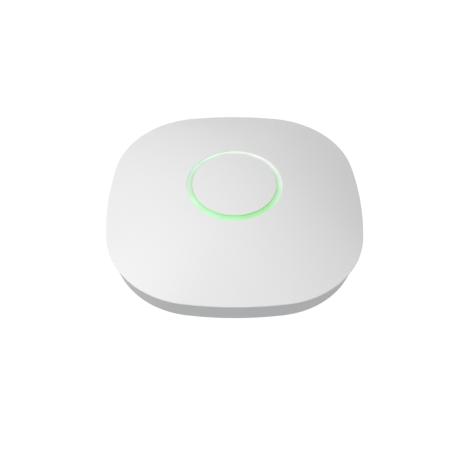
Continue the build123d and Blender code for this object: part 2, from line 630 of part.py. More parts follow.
# ---------------------------------------------------------------- network jacks, opening into the bay
SHELL_SHEET = 0.3
SOCKET_BACK_Y = 22.0
SOCKET_HALF_X = 5.95
SOCKET_Z = (7.9, 14.9)
LATCH_HALF_X = 3.1
LATCH_Z = 6.3
CONTACT_PITCH = 1.02
CONTACT_COUNT = 8
CONTACT_WIDTH = 0.4
jack_middles = (-JACK_X, JACK_X)

with BuildPart() as jack_shells:
    for x in jack_middles:
        shell_x = (x - JACK_WIDTH / 2, x + JACK_WIDTH / 2)
        block(shell_x, (JACK_BACK_Y, JACK_FACE_Y), (JACK_BOTTOM_Z, BOARD_Z))
        inner_x = (shell_x[0] + SHELL_SHEET, shell_x[1] - SHELL_SHEET)
        inner_z = (JACK_BOTTOM_Z + SHELL_SHEET, BOARD_Z - SHELL_SHEET)
        block(inner_x, (JACK_BACK_Y + SHELL_SHEET, JACK_FACE_Y), inner_z, Mode.SUBTRACT)
save(jack_shells, "jack_shells")

with BuildPart() as jack_inserts:
    for x in jack_middles:
        half_x = JACK_WIDTH / 2 - SHELL_SHEET
        insert_z = (JACK_BOTTOM_Z + SHELL_SHEET, BOARD_Z - SHELL_SHEET)
        block((x - half_x, x + half_x), (JACK_BACK_Y + SHELL_SHEET, JACK_FACE_Y), insert_z)
        socket_y = (SOCKET_BACK_Y, JACK_FACE_Y)
        block((x - SOCKET_HALF_X, x + SOCKET_HALF_X), socket_y, SOCKET_Z, Mode.SUBTRACT)
        block((x - LATCH_HALF_X, x + LATCH_HALF_X), socket_y, (LATCH_Z, SOCKET_Z[0]), Mode.SUBTRACT)
save(jack_inserts, "jack_inserts")

with BuildPart() as jack_contacts:
    first_x = -(CONTACT_COUNT - 1) / 2 * CONTACT_PITCH
    for x in jack_middles:
        for number in range(CONTACT_COUNT):
            spring_x = x + first_x + number * CONTACT_PITCH - CONTACT_WIDTH / 2
            with BuildSketch(Plane.YZ.offset(spring_x)) as spring:
                Polygon((24, 12.9), (24, 13.3), (30, SOCKET_Z[1]), (31.4, SOCKET_Z[1]), align=None)
            extrude(spring.sketch, amount=CONTACT_WIDTH)
save(jack_contacts, "jack_contacts")

# ---------------------------------------------------------------- reset button and the switch behind it
BUTTON_FLANGE_RADIUS = 3.2
BUTTON_FLANGE_Y = (32.9, 33.7)
BUTTON_FACE_Y = 37.2
BUTTON_EDGE = 0.4
PLUNGER_Y = (31.0, 31.8)
PLUNGER_RADIUS = 1.4
SWITCH_BACK_Y = 26.5
SWITCH_HALF = 3.0


def rods_along_y(radius, y_range):
    """A rod on the button's axis between these limits."""
    with BuildSketch(Plane.XZ.offset(-y_range[0])) as outline:
        with Locations((BUTTON_X, BUTTON_Z)):
            Circle(radius)
    extrude(outline.sketch, amount=y_range[0] - y_range[1])


with BuildPart() as reset_button:
    rods_along_y(BUTTON_FLANGE_RADIUS, BUTTON_FLANGE_Y)
    rods_along_y(BUTTON_RADIUS, (BUTTON_FLANGE_Y[1], BUTTON_FACE_Y))
    fillet(reset_button.faces().sort_by(Axis.Y)[-1].edges(), BUTTON_EDGE)
save(reset_button, "reset_button")

with BuildPart() as reset_switch:
    switch_x = (BUTTON_X - SWITCH_HALF, BUTTON_X + SWITCH_HALF)
    block(switch_x, (SWITCH_BACK_Y, PLUNGER_Y[0]), (BUTTON_Z - SWITCH_HALF, BOARD_Z))
    rods_along_y(PLUNGER_RADIUS, PLUNGER_Y)
save(reset_switch, "reset_switch")

# ---------------------------------------------------------------- antennas, carriers and leads
CARRIER_TOP_Z = 18.6
CARRIER_PLATE = 1.6
CARRIER_SIZE = (28.0, 26.0)
CARRIER_CORNER = 2.0
ANTENNA_SCREW_TIP_Z = 7.0
ANTENNA_SIZE = (26.0, 24.0)
ANTENNA_CORNER = 1.0
ANTENNA_SHEET = 0.4
LEVEL_GAP = (14.0, 2.0)  # the two cuts that shape the radiating arms
UPRIGHT_GAP = (2.0, 12.0)
UPRIGHT_GAP_PLACE = (6.0, 5.0)
ANTENNA_Z = 22.0
LEG_WIDTH = 3.0
LEG_Y = 6.0  # from the antenna's middle, towards the object's middle
LEAD_RADIUS = 0.6
LEAD_Z = 21.2
CONNECTOR_X = 51.2
CONNECTOR_Y = 29.0
CONNECTOR_HALF = 1.6
LEAD_BEND_X = (59.6, 57.4)
LEAD_BEND_RADIUS = 2.2

with BuildPart() as antenna_carriers:
    with BuildSketch(Plane.XY.offset(CARRIER_TOP_Z - CARRIER_PLATE)):
        with Locations(*antenna_places):
            RectangleRounded(*CARRIER_SIZE, CARRIER_CORNER)
    extrude(amount=CARRIER_PLATE)
    discs(POST_OUTER, antenna_places, (ANTENNA_BOSS_TOP_Z, CARRIER_TOP_Z - CARRIER_PLATE))
    discs(SMALL_CLEARANCE, antenna_places, (ANTENNA_BOSS_TOP_Z, CARRIER_TOP_Z), Mode.SUBTRACT)
save(antenna_carriers, "antenna_carriers")

with BuildPart() as antenna_screws:
    screws(antenna_places, CARRIER_TOP_Z, ANTENNA_SCREW_TIP_Z)
save(antenna_screws, "antenna_screws")

with BuildPart() as antennas:
    with BuildSketch(Plane.XY.offset(ANTENNA_Z)):
        with Locations(*antenna_places):
            RectangleRounded(*ANTENNA_SIZE, ANTENNA_CORNER)
            Rectangle(*LEVEL_GAP, mode=Mode.SUBTRACT)
            with Locations(UPRIGHT_GAP_PLACE):
                Rectangle(*UPRIGHT_GAP, mode=Mode.SUBTRACT)
    extrude(amount=ANTENNA_SHEET)
    for x, y in antenna_places:
        side = 1 if x > 0 else -1
        leg_x = sorted((x - side * ANTENNA_SIZE[0] / 2, x - side * (ANTENNA_SIZE[0] / 2 - ANTENNA_SHEET)))
        leg_y = y * (1 - LEG_Y / ANTENNA_Y)
        block(leg_x, (leg_y - LEG_WIDTH / 2, leg_y + LEG_WIDTH / 2), (CARRIER_TOP_Z, ANTENNA_Z))
save(antennas, "antennas")

with BuildPart() as antenna_leads:
    leg_face_x = ANTENNA_X - ANTENNA_SIZE[0] / 2
    for side_x, side_y in ((1, 1), (1, -1), (-1, 1), (-1, -1)):
        start_y = side_y * (ANTENNA_Y - LEG_Y)
        end_y = side_y * CONNECTOR_Y
        route = [(leg_face_x, start_y), (LEAD_BEND_X[0], start_y), (LEAD_BEND_X[1], end_y)]
        route.append((CONNECTOR_X + CONNECTOR_HALF, end_y))
        with BuildLine() as lead_route:
            FilletPolyline(*[(side_x * x, y, LEAD_Z) for x, y in route], radius=LEAD_BEND_RADIUS)
        start = Plane(origin=(side_x * leg_face_x, start_y, LEAD_Z), z_dir=(-side_x, 0, 0))
        with BuildSketch(start) as lead_end:
            Circle(LEAD_RADIUS)
        sweep(lead_end.sketch, path=lead_route.wire())
save(antenna_leads, "antenna_leads")

with BuildPart() as antenna_connectors:
    for x, y in corners(CONNECTOR_X, -CONNECTOR_Y, CONNECTOR_Y):
        half = CONNECTOR_HALF
        block((x - half, x + half), (y - half, y + half), (BOARD_TOP_Z, LEAD_Z + LEAD_RADIUS))
save(antenna_connectors, "antenna_connectors")

# ---------------------------------------------------------------- ribbon from the light board
RIBBON_SIZE = (7.0, 0.9)
RIBBON_TOP_Z = 28.4
RIBBON_BOTTOM_Z = 21.8
UPPER_PLUG_Y = (-39.0, -33.0)
LOWER_PLUG_Y = (-50.0, -44.0)
RIBBON_LOOP_Y = -55.0
RIBBON_BEND = 3.2
PLUG_HALF_X = 5.0
PLUG_HEIGHT = 3.2

with BuildPart() as led_connectors:
    plug_x = (-PLUG_HALF_X, PLUG_HALF_X)
    block(plug_x, UPPER_PLUG_Y, (LED_BOARD_BOTTOM_Z - PLUG_HEIGHT, LED_BOARD_BOTTOM_Z))
    block(plug_x, LOWER_PLUG_Y, (BOARD_TOP_Z, BOARD_TOP_Z + PLUG_HEIGHT))
save(led_connectors, "led_connectors")

with BuildPart() as led_ribbon:
    with BuildLine(Plane.YZ) as ribbon_route:
        FilletPolyline(
            (UPPER_PLUG_Y[0], RIBBON_TOP_Z),
            (RIBBON_LOOP_Y, RIBBON_TOP_Z),
            (RIBBON_LOOP_Y, RIBBON_BOTTOM_Z),
            (LOWER_PLUG_Y[0], RIBBON_BOTTOM_Z),
            radius=RIBBON_BEND,
        )
    with BuildSketch(Plane(origin=(0, UPPER_PLUG_Y[0], RIBBON_TOP_Z), x_dir=(1, 0, 0), z_dir=(0, -1, 0))):
        Rectangle(*RIBBON_SIZE)
    sweep()
save(led_ribbon, "led_ribbon")
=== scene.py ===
import math

import bmesh
import bpy
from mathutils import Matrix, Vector


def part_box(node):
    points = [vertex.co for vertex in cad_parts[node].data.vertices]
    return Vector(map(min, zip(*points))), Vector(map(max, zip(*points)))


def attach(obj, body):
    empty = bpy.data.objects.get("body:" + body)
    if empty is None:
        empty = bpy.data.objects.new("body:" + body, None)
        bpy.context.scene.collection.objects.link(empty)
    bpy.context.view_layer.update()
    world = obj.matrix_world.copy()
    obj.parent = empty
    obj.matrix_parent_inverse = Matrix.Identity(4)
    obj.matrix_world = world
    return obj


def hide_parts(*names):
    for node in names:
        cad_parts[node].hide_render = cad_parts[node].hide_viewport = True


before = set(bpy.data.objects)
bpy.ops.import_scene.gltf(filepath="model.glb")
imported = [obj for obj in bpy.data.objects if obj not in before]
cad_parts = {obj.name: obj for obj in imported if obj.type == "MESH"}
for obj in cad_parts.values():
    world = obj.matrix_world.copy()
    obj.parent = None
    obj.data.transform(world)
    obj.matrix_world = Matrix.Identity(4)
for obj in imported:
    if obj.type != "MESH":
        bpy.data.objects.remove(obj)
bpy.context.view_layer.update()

# ---- mounting bracket
# The round plate that is screwed to the ceiling or to an electrical box: 1.2 mm galvanised sheet,
# blanked in one hit. A wide cut-out lets the network cable down into the port bay.
MM = 0.001
plate_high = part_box("mounting_bracket")[1]
plate_radius, plate_thickness = plate_high.x, plate_high.z
cutout_half_width, cutout_front, cutout_back = 22 * MM, 18 * MM, 80 * MM
cutout_inner_round, cutout_outer_round = 6 * MM, 2.5 * MM
ceiling_hole_circle, ceiling_hole_radius = 50 * MM, 2.25 * MM
box_slot_half_spacing, box_slot_length = 41.65 * MM, 10 * MM
stud_circle, stud_angles, stud_hole_radius = 62 * MM, (15, 165, 195, 345), 2.0 * MM
through = (-3 * MM, 3 * MM)


def deselect_everything():
    """Leaves edit mode and drops the selection, so that the next operator acts on its own piece."""
    if bpy.context.object and bpy.context.object.mode == "EDIT":
        bpy.ops.object.mode_set(mode="OBJECT")
    bpy.ops.object.select_all(action="DESELECT")


def only(piece):
    """Makes this piece the only selected one."""
    deselect_everything()
    piece.select_set(True)
    bpy.context.view_layer.objects.active = piece


def settle(name):
    """Names the primitive just added and moves its place into its mesh."""
    piece = bpy.context.object
    piece.name = piece.data.name = name
    bpy.ops.object.transform_apply(location=True, rotation=True, scale=True)
    return piece


def block(name, low, high):
    """A block between two corners."""
    deselect_everything()
    middle = [(a + b) / 2 for a, b in zip(low, high)]
    sides = [b - a for a, b in zip(low, high)]
    bpy.ops.mesh.primitive_cube_add(size=1, location=middle, scale=sides)
    return settle(name)


def pillar(name, radius, heights, sides=48):
    """An upright round pillar on the middle axis, between two heights."""
    deselect_everything()
    low, high = heights
    centre = (0, 0, (low + high) / 2)
    bpy.ops.mesh.primitive_cylinder_add(vertices=sides, radius=radius, depth=high - low, location=centre)
    return settle(name)


def slot_pillar(name, length, width, heights):
    """An upright pillar with a slot's outline along X, centred on the middle axis."""
    piece = pillar(name, width / 2, heights)
    bpy.ops.object.mode_set(mode="EDIT")
    bpy.ops.mesh.select_mode(type="VERT")
    for side in (-1, 1):
        bpy.ops.mesh.select_all(action="DESELECT")
        mesh = bmesh.from_edit_mesh(piece.data)
        for point in mesh.verts:
            point.select_set(point.co.x * side > 1e-6)
        bmesh.update_edit_mesh(piece.data)
        bpy.ops.transform.translate(value=(side * (length - width) / 2, 0, 0))
    bpy.ops.object.mode_set(mode="OBJECT")
    return piece


def on_circle(radius, degrees):
    """A place on a circle round the middle."""
    return radius * math.cos(math.radians(degrees)), radius * math.sin(math.radians(degrees))


def corners(x, front_y, back_y):
    """The four corners of a rectangle centred in X."""
    return [(-x, front_y), (x, front_y), (-x, back_y), (x, back_y)]


def joined(name, pieces):
    """Several pieces as one object with its origin at the middle."""
    deselect_everything()
    for piece in pieces:
        piece.select_set(True)
    bpy.context.view_layer.objects.active = pieces[0]
    bpy.ops.object.join()
    return settle(name)


def repeated(piece, places, turns=None):
    """Copies a piece to each place, each copy with its own mesh, and joins the copies."""
    copies = []
    for number, place in enumerate(places):
        copy = piece.copy()
        copy.data = piece.data.copy()
        copy.location = (*place, 0)
        copy.rotation_euler = (0, 0, math.radians(turns[number]) if turns else 0)
        bpy.context.collection.objects.link(copy)
        copies.append(copy)
    name = piece.name
    bpy.data.objects.remove(piece)
    return joined(name, copies)


def combine(piece, operation, *others):
    """Cuts the others out of this piece, adds them to it or keeps what they share, and removes them."""
    for other in others:
        only(piece)
        modifier = piece.modifiers.new("Combine", "BOOLEAN")
        modifier.operation = operation
        modifier.solver = "EXACT"
        modifier.object = other
        bpy.ops.object.modifier_apply(modifier=modifier.name)
        bpy.data.objects.remove(other)


def select_upright_edges(piece, x, y, nearest, farthest):
    """Selects only the upright edges whose distance from a place lies between two limits."""
    bpy.ops.mesh.select_all(action="DESELECT")
    mesh = bmesh.from_edit_mesh(piece.data)
    for edge in mesh.edges:
        one, other = (point.co.xy for point in edge.verts)
        away = (one - Vector((x, y))).length
        edge.select_set((one - other).length < 1e-6 and nearest <= away < farthest)
    bmesh.update_edit_mesh(piece.data)


def round_upright_edge(piece, x, y, radius, segments, cleared=None):
    """Rounds the upright edge at a place, after clearing away others that stand too near it."""
    touching = 0.1 * MM
    only(piece)
    bpy.ops.object.mode_set(mode="EDIT")
    bpy.ops.mesh.select_mode(type="EDGE")
    if cleared:
        select_upright_edges(piece, x, y, touching, cleared)
        bpy.ops.mesh.dissolve_edges(use_verts=True)
    select_upright_edges(piece, x, y, 0, touching)
    bpy.ops.mesh.bevel(offset=radius, segments=segments, profile=0.5, affect="EDGES")
    bpy.ops.object.mode_set(mode="OBJECT")


def soften(piece, width, segments=2, angle=35):
    """Breaks every sharp edge with a small round, and shades the rest smooth."""
    only(piece)
    if width:
        modifier = piece.modifiers.new("Edge round", "BEVEL")
        modifier.width = width
        modifier.segments = segments
        modifier.limit_method = "ANGLE"
        modifier.angle_limit = math.radians(angle)
        bpy.ops.object.modifier_apply(modifier=modifier.name)
    bpy.ops.object.shade_smooth_by_angle(angle=math.radians(angle))
    modifier = piece.modifiers.new("Even shading", "WEIGHTED_NORMAL")
    modifier.keep_sharp = True
    bpy.ops.object.modifier_apply(modifier=modifier.name)


bracket = pillar("bracket_plate", plate_radius, (0, plate_thickness), sides=192)
cutout_low = (-cutout_half_width, cutout_front, through[0])
cutout = block("cutout", cutout_low, (cutout_half_width, cutout_back, through[1]))
for side in (-1, 1):
    round_upright_edge(cutout, side * cutout_half_width, cutout_front, cutout_inner_round, 8)
combine(bracket, "DIFFERENCE", cutout)
mouth_y = math.sqrt(plate_radius**2 - cutout_half_width**2)
for side in (-1, 1):
    round_upright_edge(bracket, side * cutout_half_width, mouth_y, cutout_outer_round, 5, 4 * MM)
ceiling_holes = [on_circle(ceiling_hole_circle, angle) for angle in (45, 135, 225, 315)]
stud_places = [on_circle(stud_circle, angle) for angle in stud_angles]
box_slots = [(-box_slot_half_spacing, 0), (box_slot_half_spacing, 0)]
combine(
    bracket,
    "DIFFERENCE",
    repeated(pillar("ceiling_holes", ceiling_hole_radius, through), ceiling_holes),
    repeated(slot_pillar("box_slots", box_slot_length, 2 * ceiling_hole_radius, through), box_slots),
    repeated(pillar("stud_holes", stud_hole_radius, through), stud_places),
)
soften(bracket, 0.12 * MM)
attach(bracket, "bracket")
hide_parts("mounting_bracket")


def shader_group(name, inputs, **outputs):
    """A shader node group, with its input sockets and its output sockets."""
    group = bpy.data.node_groups.new(name, "ShaderNodeTree")
    for label, value in inputs.items():
        kind = "NodeSocketColor" if isinstance(value, tuple) else "NodeSocketFloat"
        group.interface.new_socket(name=label, in_out="INPUT", socket_type=kind).default_value = value
    for label, kind in outputs.items():
        group.interface.new_socket(name=label, in_out="OUTPUT", socket_type="NodeSocket" + kind)
    return group, add_node(group, "NodeGroupInput").outputs, add_node(group, "NodeGroupOutput").inputs


def link_all(tree, pairs):
    """Links each output socket to its input socket."""
    for source, target in pairs:
        tree.links.new(source, target)


def add_node(tree, kind, **settings):
    """A node of this kind, with properties set by name."""
    node = tree.nodes.new(kind)
    for name, value in settings.items():
        setattr(node, name, value)
    return node


def feed(tree, sockets, values):
    """Gives each socket its value, which may be a number, a colour or another socket to link from."""
    for socket, value in zip(sockets, values):
        if isinstance(value, bpy.types.NodeSocket):
            tree.links.new(value, socket)
        else:
            socket.default_value = value


def noise(tree, coordinates, scale, detail):
    """A noise texture on these coordinates."""
    node = add_node(tree, "ShaderNodeTexNoise")
    feed(tree, [node.inputs[name] for name in ("Vector", "Scale", "Detail")], (coordinates, scale, detail))
    return node.outputs["Fac"]


def mapped(tree, value, low, high, from_low=0.0, from_high=1.0):
    """Stretches a value to a new range."""
    node = add_node(tree, "ShaderNodeMapRange")
    sockets = [node.inputs[name] for name in ("Value", "From Min", "From Max", "To Min", "To Max")]
    feed(tree, sockets, (value, from_low, from_high, low, high))
    return node.outputs["Result"]


def blended(tree, factor, first, second):
    """A colour between two others."""
    node = add_node(tree, "ShaderNodeMix", data_type="RGBA")
    feed(tree, (node.inputs[0], node.inputs[6], node.inputs[7]), (factor, first, second))
    return node.outputs[2]


def surface_group():
    """Shared finish: a fine grain in the height, and a slow drift in colour and roughness."""
    group, given, result = shader_group("surface_finish", {
        "Colour": (0.8, 0.8, 0.8, 1),
        "Drift Colour": (0.7, 0.7, 0.7, 1),
        "Grain per Metre": 2500,
        "Drift per Metre": 22,
        "Smoothest": 0.4,
        "Roughest": 0.5,
    }, Colour="Color", Roughness="Float", Height="Float")
    place = add_node(group, "ShaderNodeTexCoord").outputs["Object"]
    grain = noise(group, place, given["Grain per Metre"], 3)
    drift = noise(group, place, given["Drift per Metre"], 4)
    link_all(group, [
        (blended(group, drift, given["Colour"], given["Drift Colour"]), result["Colour"]),
        (mapped(group, drift, given["Smoothest"], given["Roughest"], 0.3, 0.7), result["Roughness"]),
        (grain, result["Height"]),
    ])
    return group


finish_group = surface_group()


def new_material(name):
    """A material with its node tree and its shader."""
    material = bpy.data.materials.new(name)
    material.use_nodes = True
    return material, material.node_tree, material.node_tree.nodes["Principled BSDF"]


def surface_from(tree, shader, group, bump):
    """Takes the shader's colour, roughness and relief from a group. Bump is the relief's height in metres."""
    relief = add_node(tree, "ShaderNodeBump")
    relief.inputs["Distance"].default_value = bump
    link_all(tree, [
        (group.outputs["Colour"], shader.inputs["Base Color"]),
        (group.outputs["Roughness"], shader.inputs["Roughness"]),
        (group.outputs["Height"], relief.inputs["Height"]),
        (relief.outputs["Normal"], shader.inputs["Normal"]),
    ])


def finish(name, colour, drift_colour, grain, drift, roughness, bump, metallic=0.0, coat=0.0):
    """A material with the shared finish. Roughness is its range."""
    material, tree, shader = new_material(name)
    group = add_node(tree, "ShaderNodeGroup", node_tree=finish_group)
    feed(tree, group.inputs, ((*colour, 1), (*drift_colour, 1), grain, drift, *roughness))
    shader.inputs["Metallic"].default_value = metallic
    shader.inputs["Coat Weight"].default_value = coat
    surface_from(tree, shader, group, bump)
    return material


def dress(piece, material):
    """Gives the whole piece this material. A carried node is named."""
    if isinstance(piece, str):
        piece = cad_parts[piece]
    piece.data.materials.clear()
    piece.data.materials.append(material)


galvanised = finish(
    "galvanised", (0.56, 0.57, 0.58), (0.44, 0.45, 0.47), 900, 160, (0.28, 0.45), 0.004 * MM, metallic=1.0
)
dress(bracket, galvanised)

# ---- bracket studs
# Four mushroom-headed studs that the tray hooks onto with a short twist.
# Turned steel, zinc plated, riveted into the plate from the ceiling side.
zinc_plate = finish(
    "zinc_plate", (0.66, 0.66, 0.67), (0.56, 0.56, 0.58), 2600, 400, (0.2, 0.34), 0.003 * MM, metallic=1.0
)
dress("bracket_studs", zinc_plate)

# ---- rear tray
# The tray behind the dome: white ABS and polycarbonate, given a greyer colour than the cover.
# Its wall leans inwards towards the ceiling. The floor carries the port bay, the channel for a cable
# laid along the ceiling, the pockets that lock on the bracket's studs, posts, bosses and vents.
SIDE_BULGE = 1.70  # a side's radius is (1 + SIDE_BULGE) half widths
CORNER_TIGHTNESS = 0.294  # a corner's radius is (1 - CORNER_TIGHTNESS) half widths
tray_low, tray_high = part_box("rear_housing")
tray_bottom, tray_top, floor_top = tray_low.z, tray_high.z, 4.0 * MM
tray_top_half, tray_bottom_half = tray_high.x, 98.4 * MM
tray_wall, tray_edge = 2.2 * MM, 1.0 * MM
bay_half_width, bay_front, bay_back, bay_ceiling, bay_wall = 34 * MM, 36 * MM, 74 * MM, 19.8 * MM, 2 * MM
channel_half_width, channel_ceiling = 8 * MM, 12 * MM
window_x, window_half_width, window_heights = 9.2 * MM, 8.2 * MM, (5.0 * MM, 18.6 * MM)
button_place, button_hole_radius = (-25 * MM, 12.8 * MM), 2.5 * MM
pocket_width, pocket_wall, pocket_heights, twist = 9.0 * MM, 1.6 * MM, (3.99 * MM, 6.8 * MM), 15
twist_slot_width, entry_radius = 4.6 * MM, 4.25 * MM
cover_screws = corners(64 * MM, -64 * MM, 64 * MM)
boss_radius, boss_top, screw_hole_radius = 5 * MM, 18.2 * MM, 1.7 * MM
counterbore_radius, counterbore_top = 3.3 * MM, 5 * MM
board_posts, post_radius, post_top = corners(48 * MM, -44 * MM, 20 * MM), 3.2 * MM, 18.6 * MM
antenna_places, antenna_boss_top = corners(77 * MM, -30 * MM, 30 * MM), 12 * MM
pilot_radius, post_pilot_bottom, antenna_pilot_bottom = 1.15 * MM, 10 * MM, 6 * MM
vent_x, vent_pitch, vent_length, vent_width, vents_each_side = 83 * MM, 6.5 * MM, 14 * MM, 2.6 * MM, 9
label_recess_size, label_y, label_recess = (54.4 * MM, 14.4 * MM), -82 * MM, 0.3 * MM


def start_empty_mesh(name):
    """A new piece with nothing in its mesh yet, open in edit mode."""
    deselect_everything()
    bpy.ops.mesh.primitive_plane_add(size=MM, location=(0, 0, 0))
    piece = settle(name)
    bpy.ops.object.mode_set(mode="EDIT")
    bpy.ops.mesh.select_mode(type="VERT")
    bpy.ops.mesh.select_all(action="SELECT")
    bpy.ops.mesh.delete(type="VERT")
    return piece


def first_point(place):
    """Adds one loose point to the mesh being edited and leaves only it selected."""
    bpy.ops.mesh.select_all(action="DESELECT")
    bpy.ops.mesh.primitive_plane_add(size=MM, location=place)
    bpy.ops.mesh.merge(type="CENTER")


def spin_on(centre, degrees, steps):
    """Draws the selected points on round an upright axis. Positive degrees run clockwise, seen from above."""
    bpy.ops.mesh.spin(steps=steps, angle=math.radians(degrees), center=centre, axis=(0, 0, 1))


def close_mesh():
    """Merges doubled points, turns the faces outwards and leaves edit mode."""
    bpy.ops.mesh.select_all(action="SELECT")
    bpy.ops.mesh.remove_doubles(threshold=0.001 * MM)
    bpy.ops.mesh.normals_make_consistent(inside=False)
    bpy.ops.object.mode_set(mode="OBJECT")


def squircle_outline(half, height, squareness, side_steps, corner_steps):
    """One closed outline, spun arc by arc: squareness 1 is the rim's outline and 0 is a circle."""
    steepness = SIDE_BULGE + CORNER_TIGHTNESS
    reach = (math.sqrt(2 * steepness**2 - SIDE_BULGE**2) - SIDE_BULGE) / 2
    handover = math.atan2(reach, reach + SIDE_BULGE)
    side_radius = half * (1 + squareness * SIDE_BULGE)
    side_offset = half - side_radius
    corner_offset = squareness * half * reach * math.sqrt(2)
    first_point((-side_radius * math.sin(handover), side_offset + side_radius * math.cos(handover), height))
    for quarter in range(4):
        side_turn = 2 * math.degrees(handover)
        spin_on((*on_circle(side_offset, 90 - 90 * quarter), height), side_turn, side_steps)
        spin_on((*on_circle(corner_offset, 45 - 90 * quarter), height), 90 - side_turn, corner_steps)


def select_edges_within(piece, numbers, count):
    """Selects the edges whose two points lie in one of these outlines, of count points each."""
    bpy.ops.mesh.select_all(action="DESELECT")
    mesh = bmesh.from_edit_mesh(piece.data)
    for edge in mesh.edges:
        one, other = (point.index // count for point in edge.verts)
        edge.select_set(one == other and one in numbers)
    bmesh.update_edit_mesh(piece.data)


def loft(name, outlines, closed, side_steps=10, corner_steps=26):
    """Bridges outlines, given as half width, height and squareness. A closed row of outlines is bridged
    round to its start, and an open one gets a flat face at each end."""
    piece = start_empty_mesh(name)
    for half, height, squareness in outlines:
        squircle_outline(half, height, squareness, side_steps, corner_steps)
    bpy.ops.mesh.select_all(action="SELECT")
    bpy.ops.mesh.remove_doubles(threshold=0.001 * MM)
    bpy.ops.mesh.select_mode(type="EDGE")
    count = 4 * (side_steps + corner_steps)
    last = len(outlines) - 1
    for number in range(last if not closed else last + 1):
        select_edges_within(piece, (number, (number + 1) % len(outlines)), count)
        bpy.ops.mesh.bridge_edge_loops()
    if not closed:
        for number in (0, last):
            select_edges_within(piece, (number,), count)
            bpy.ops.mesh.edge_face_add()
    close_mesh()
    return piece


def filleted(corner_list, steps=4):
    """A closed row of corners, each (across, up, radius, ...), with each corner rounded by its radius."""
    points = []
    for number, (across, up, radius, *rest) in enumerate(corner_list):
        corner = Vector((across, up))
        if not radius:
            points.append((across, up, *rest))
            continue
        following = corner_list[(number + 1) % len(corner_list)]
        before = (Vector(corner_list[number - 1][:2]) - corner).normalized()
        after = (Vector(following[:2]) - corner).normalized()
        half_angle = before.angle(after) / 2
        centre = corner + (before + after).normalized() * radius / math.sin(half_angle)
        start = corner + before * radius / math.tan(half_angle) - centre
        end = corner + after * radius / math.tan(half_angle) - centre
        for step in range(steps + 1):
            points.append((*(centre + start.slerp(end, step / steps).normalized() * radius), *rest))
    return points


def tray_half(height):
    """Half width of the tray's outer face at this height."""
    share = (height - tray_bottom) / (tray_top - tray_bottom)
    return tray_bottom_half + share * (tray_top_half - tray_bottom_half)


def arc_slot(name, width, heights):
    """An upright pillar with an arc slot's outline, from its locked end on the +X axis back by the twist."""
    low, high = heights
    piece = start_empty_mesh(name)
    first_point((stud_circle - width / 2, 0, low))
    spin_on((0, 0, low), twist, 8)
    spin_on((*on_circle(stud_circle, -twist), low), -180, 16)
    spin_on((0, 0, low), -twist, 8)
    spin_on((stud_circle, 0, low), -180, 16)
    bpy.ops.mesh.select_all(action="SELECT")
    bpy.ops.mesh.remove_doubles(threshold=0.001 * MM)
    bpy.ops.mesh.edge_face_add()
    bpy.ops.mesh.extrude_region_move(TRANSFORM_OT_translate={"value": (0, 0, high - low)})
    close_mesh()
    return piece


middle = (0, 0)
tray_body = filleted([
    (0, tray_bottom, 0, 1),
    (tray_bottom_half, tray_bottom, tray_edge, 1),
    (tray_top_half, tray_top, 0, 1),
])[1:]
cavity = [(tray_half(height) - tray_wall, height, 1) for height in (tray_top, floor_top)]
tray = loft("rear_tray", tray_body + cavity, closed=False)
bay_outer_x, bay_outer_front = bay_half_width + bay_wall, bay_front - bay_wall
channel_outer_x, channel_outer_back = channel_half_width + bay_wall, 97.4 * MM
inside_floor = floor_top - 0.5 * MM
bay_low = (-bay_outer_x, bay_outer_front, inside_floor)
bay_high = (bay_outer_x, bay_back + bay_wall, bay_ceiling + bay_wall)
channel_low = (-channel_outer_x, bay_back, inside_floor)
channel_high = (channel_outer_x, channel_outer_back, channel_ceiling + bay_wall)
pocket_outside = (inside_floor, pocket_heights[1] + pocket_wall)
pocket_outside_width = pocket_width + 2 * pocket_wall
combine(
    tray,
    "UNION",
    block("bay_walls", bay_low, bay_high),
    block("channel_walls", channel_low, channel_high),
    repeated(arc_slot("pocket_walls", pocket_outside_width, pocket_outside), [middle] * 4, stud_angles),
    repeated(pillar("bosses", boss_radius, (inside_floor, boss_top)), cover_screws),
    repeated(pillar("posts", post_radius, (inside_floor, post_top)), board_posts),
    repeated(pillar("antenna_bosses", post_radius, (inside_floor, antenna_boss_top)), antenna_places),
)
window_low = (-window_half_width, bay_outer_front - MM, window_heights[0])
window = block("windows", window_low, (window_half_width, bay_front + MM, window_heights[1]))
deselect_everything()
button_middle = (button_place[0], (bay_outer_front + bay_front) / 2, button_place[1])
along_y = (math.pi / 2, 0, 0)
bpy.ops.mesh.primitive_cylinder_add(
    vertices=40, radius=button_hole_radius, depth=2 * bay_wall, location=button_middle, rotation=along_y
)
button_hole = settle("button_hole")
vent_rows = [vent_pitch * (number - (vents_each_side - 1) / 2) for number in range(vents_each_side)]
vent_places = [(side * vent_x, row) for side in (-1, 1) for row in vent_rows]
entry_places = [on_circle(stud_circle, angle - twist) for angle in stud_angles]
recess_corner = [side / 2 for side in label_recess_size]
recess_low = (-recess_corner[0], label_y - recess_corner[1], 0)
recess_top = (recess_corner[0], label_y + recess_corner[1], tray_bottom + label_recess)
label_recess_block = block("label_recess", recess_low, recess_top)
for x, y in corners(recess_corner[0], label_y - recess_corner[1], label_y + recess_corner[1]):
    round_upright_edge(label_recess_block, x, y, 1.6 * MM, 4)
channel_cut_low, channel_cut_back = (-channel_half_width, bay_back - MM, 0), 105 * MM
antenna_pilots = pillar("antenna_pilots", pilot_radius, (antenna_pilot_bottom, antenna_boss_top + MM))
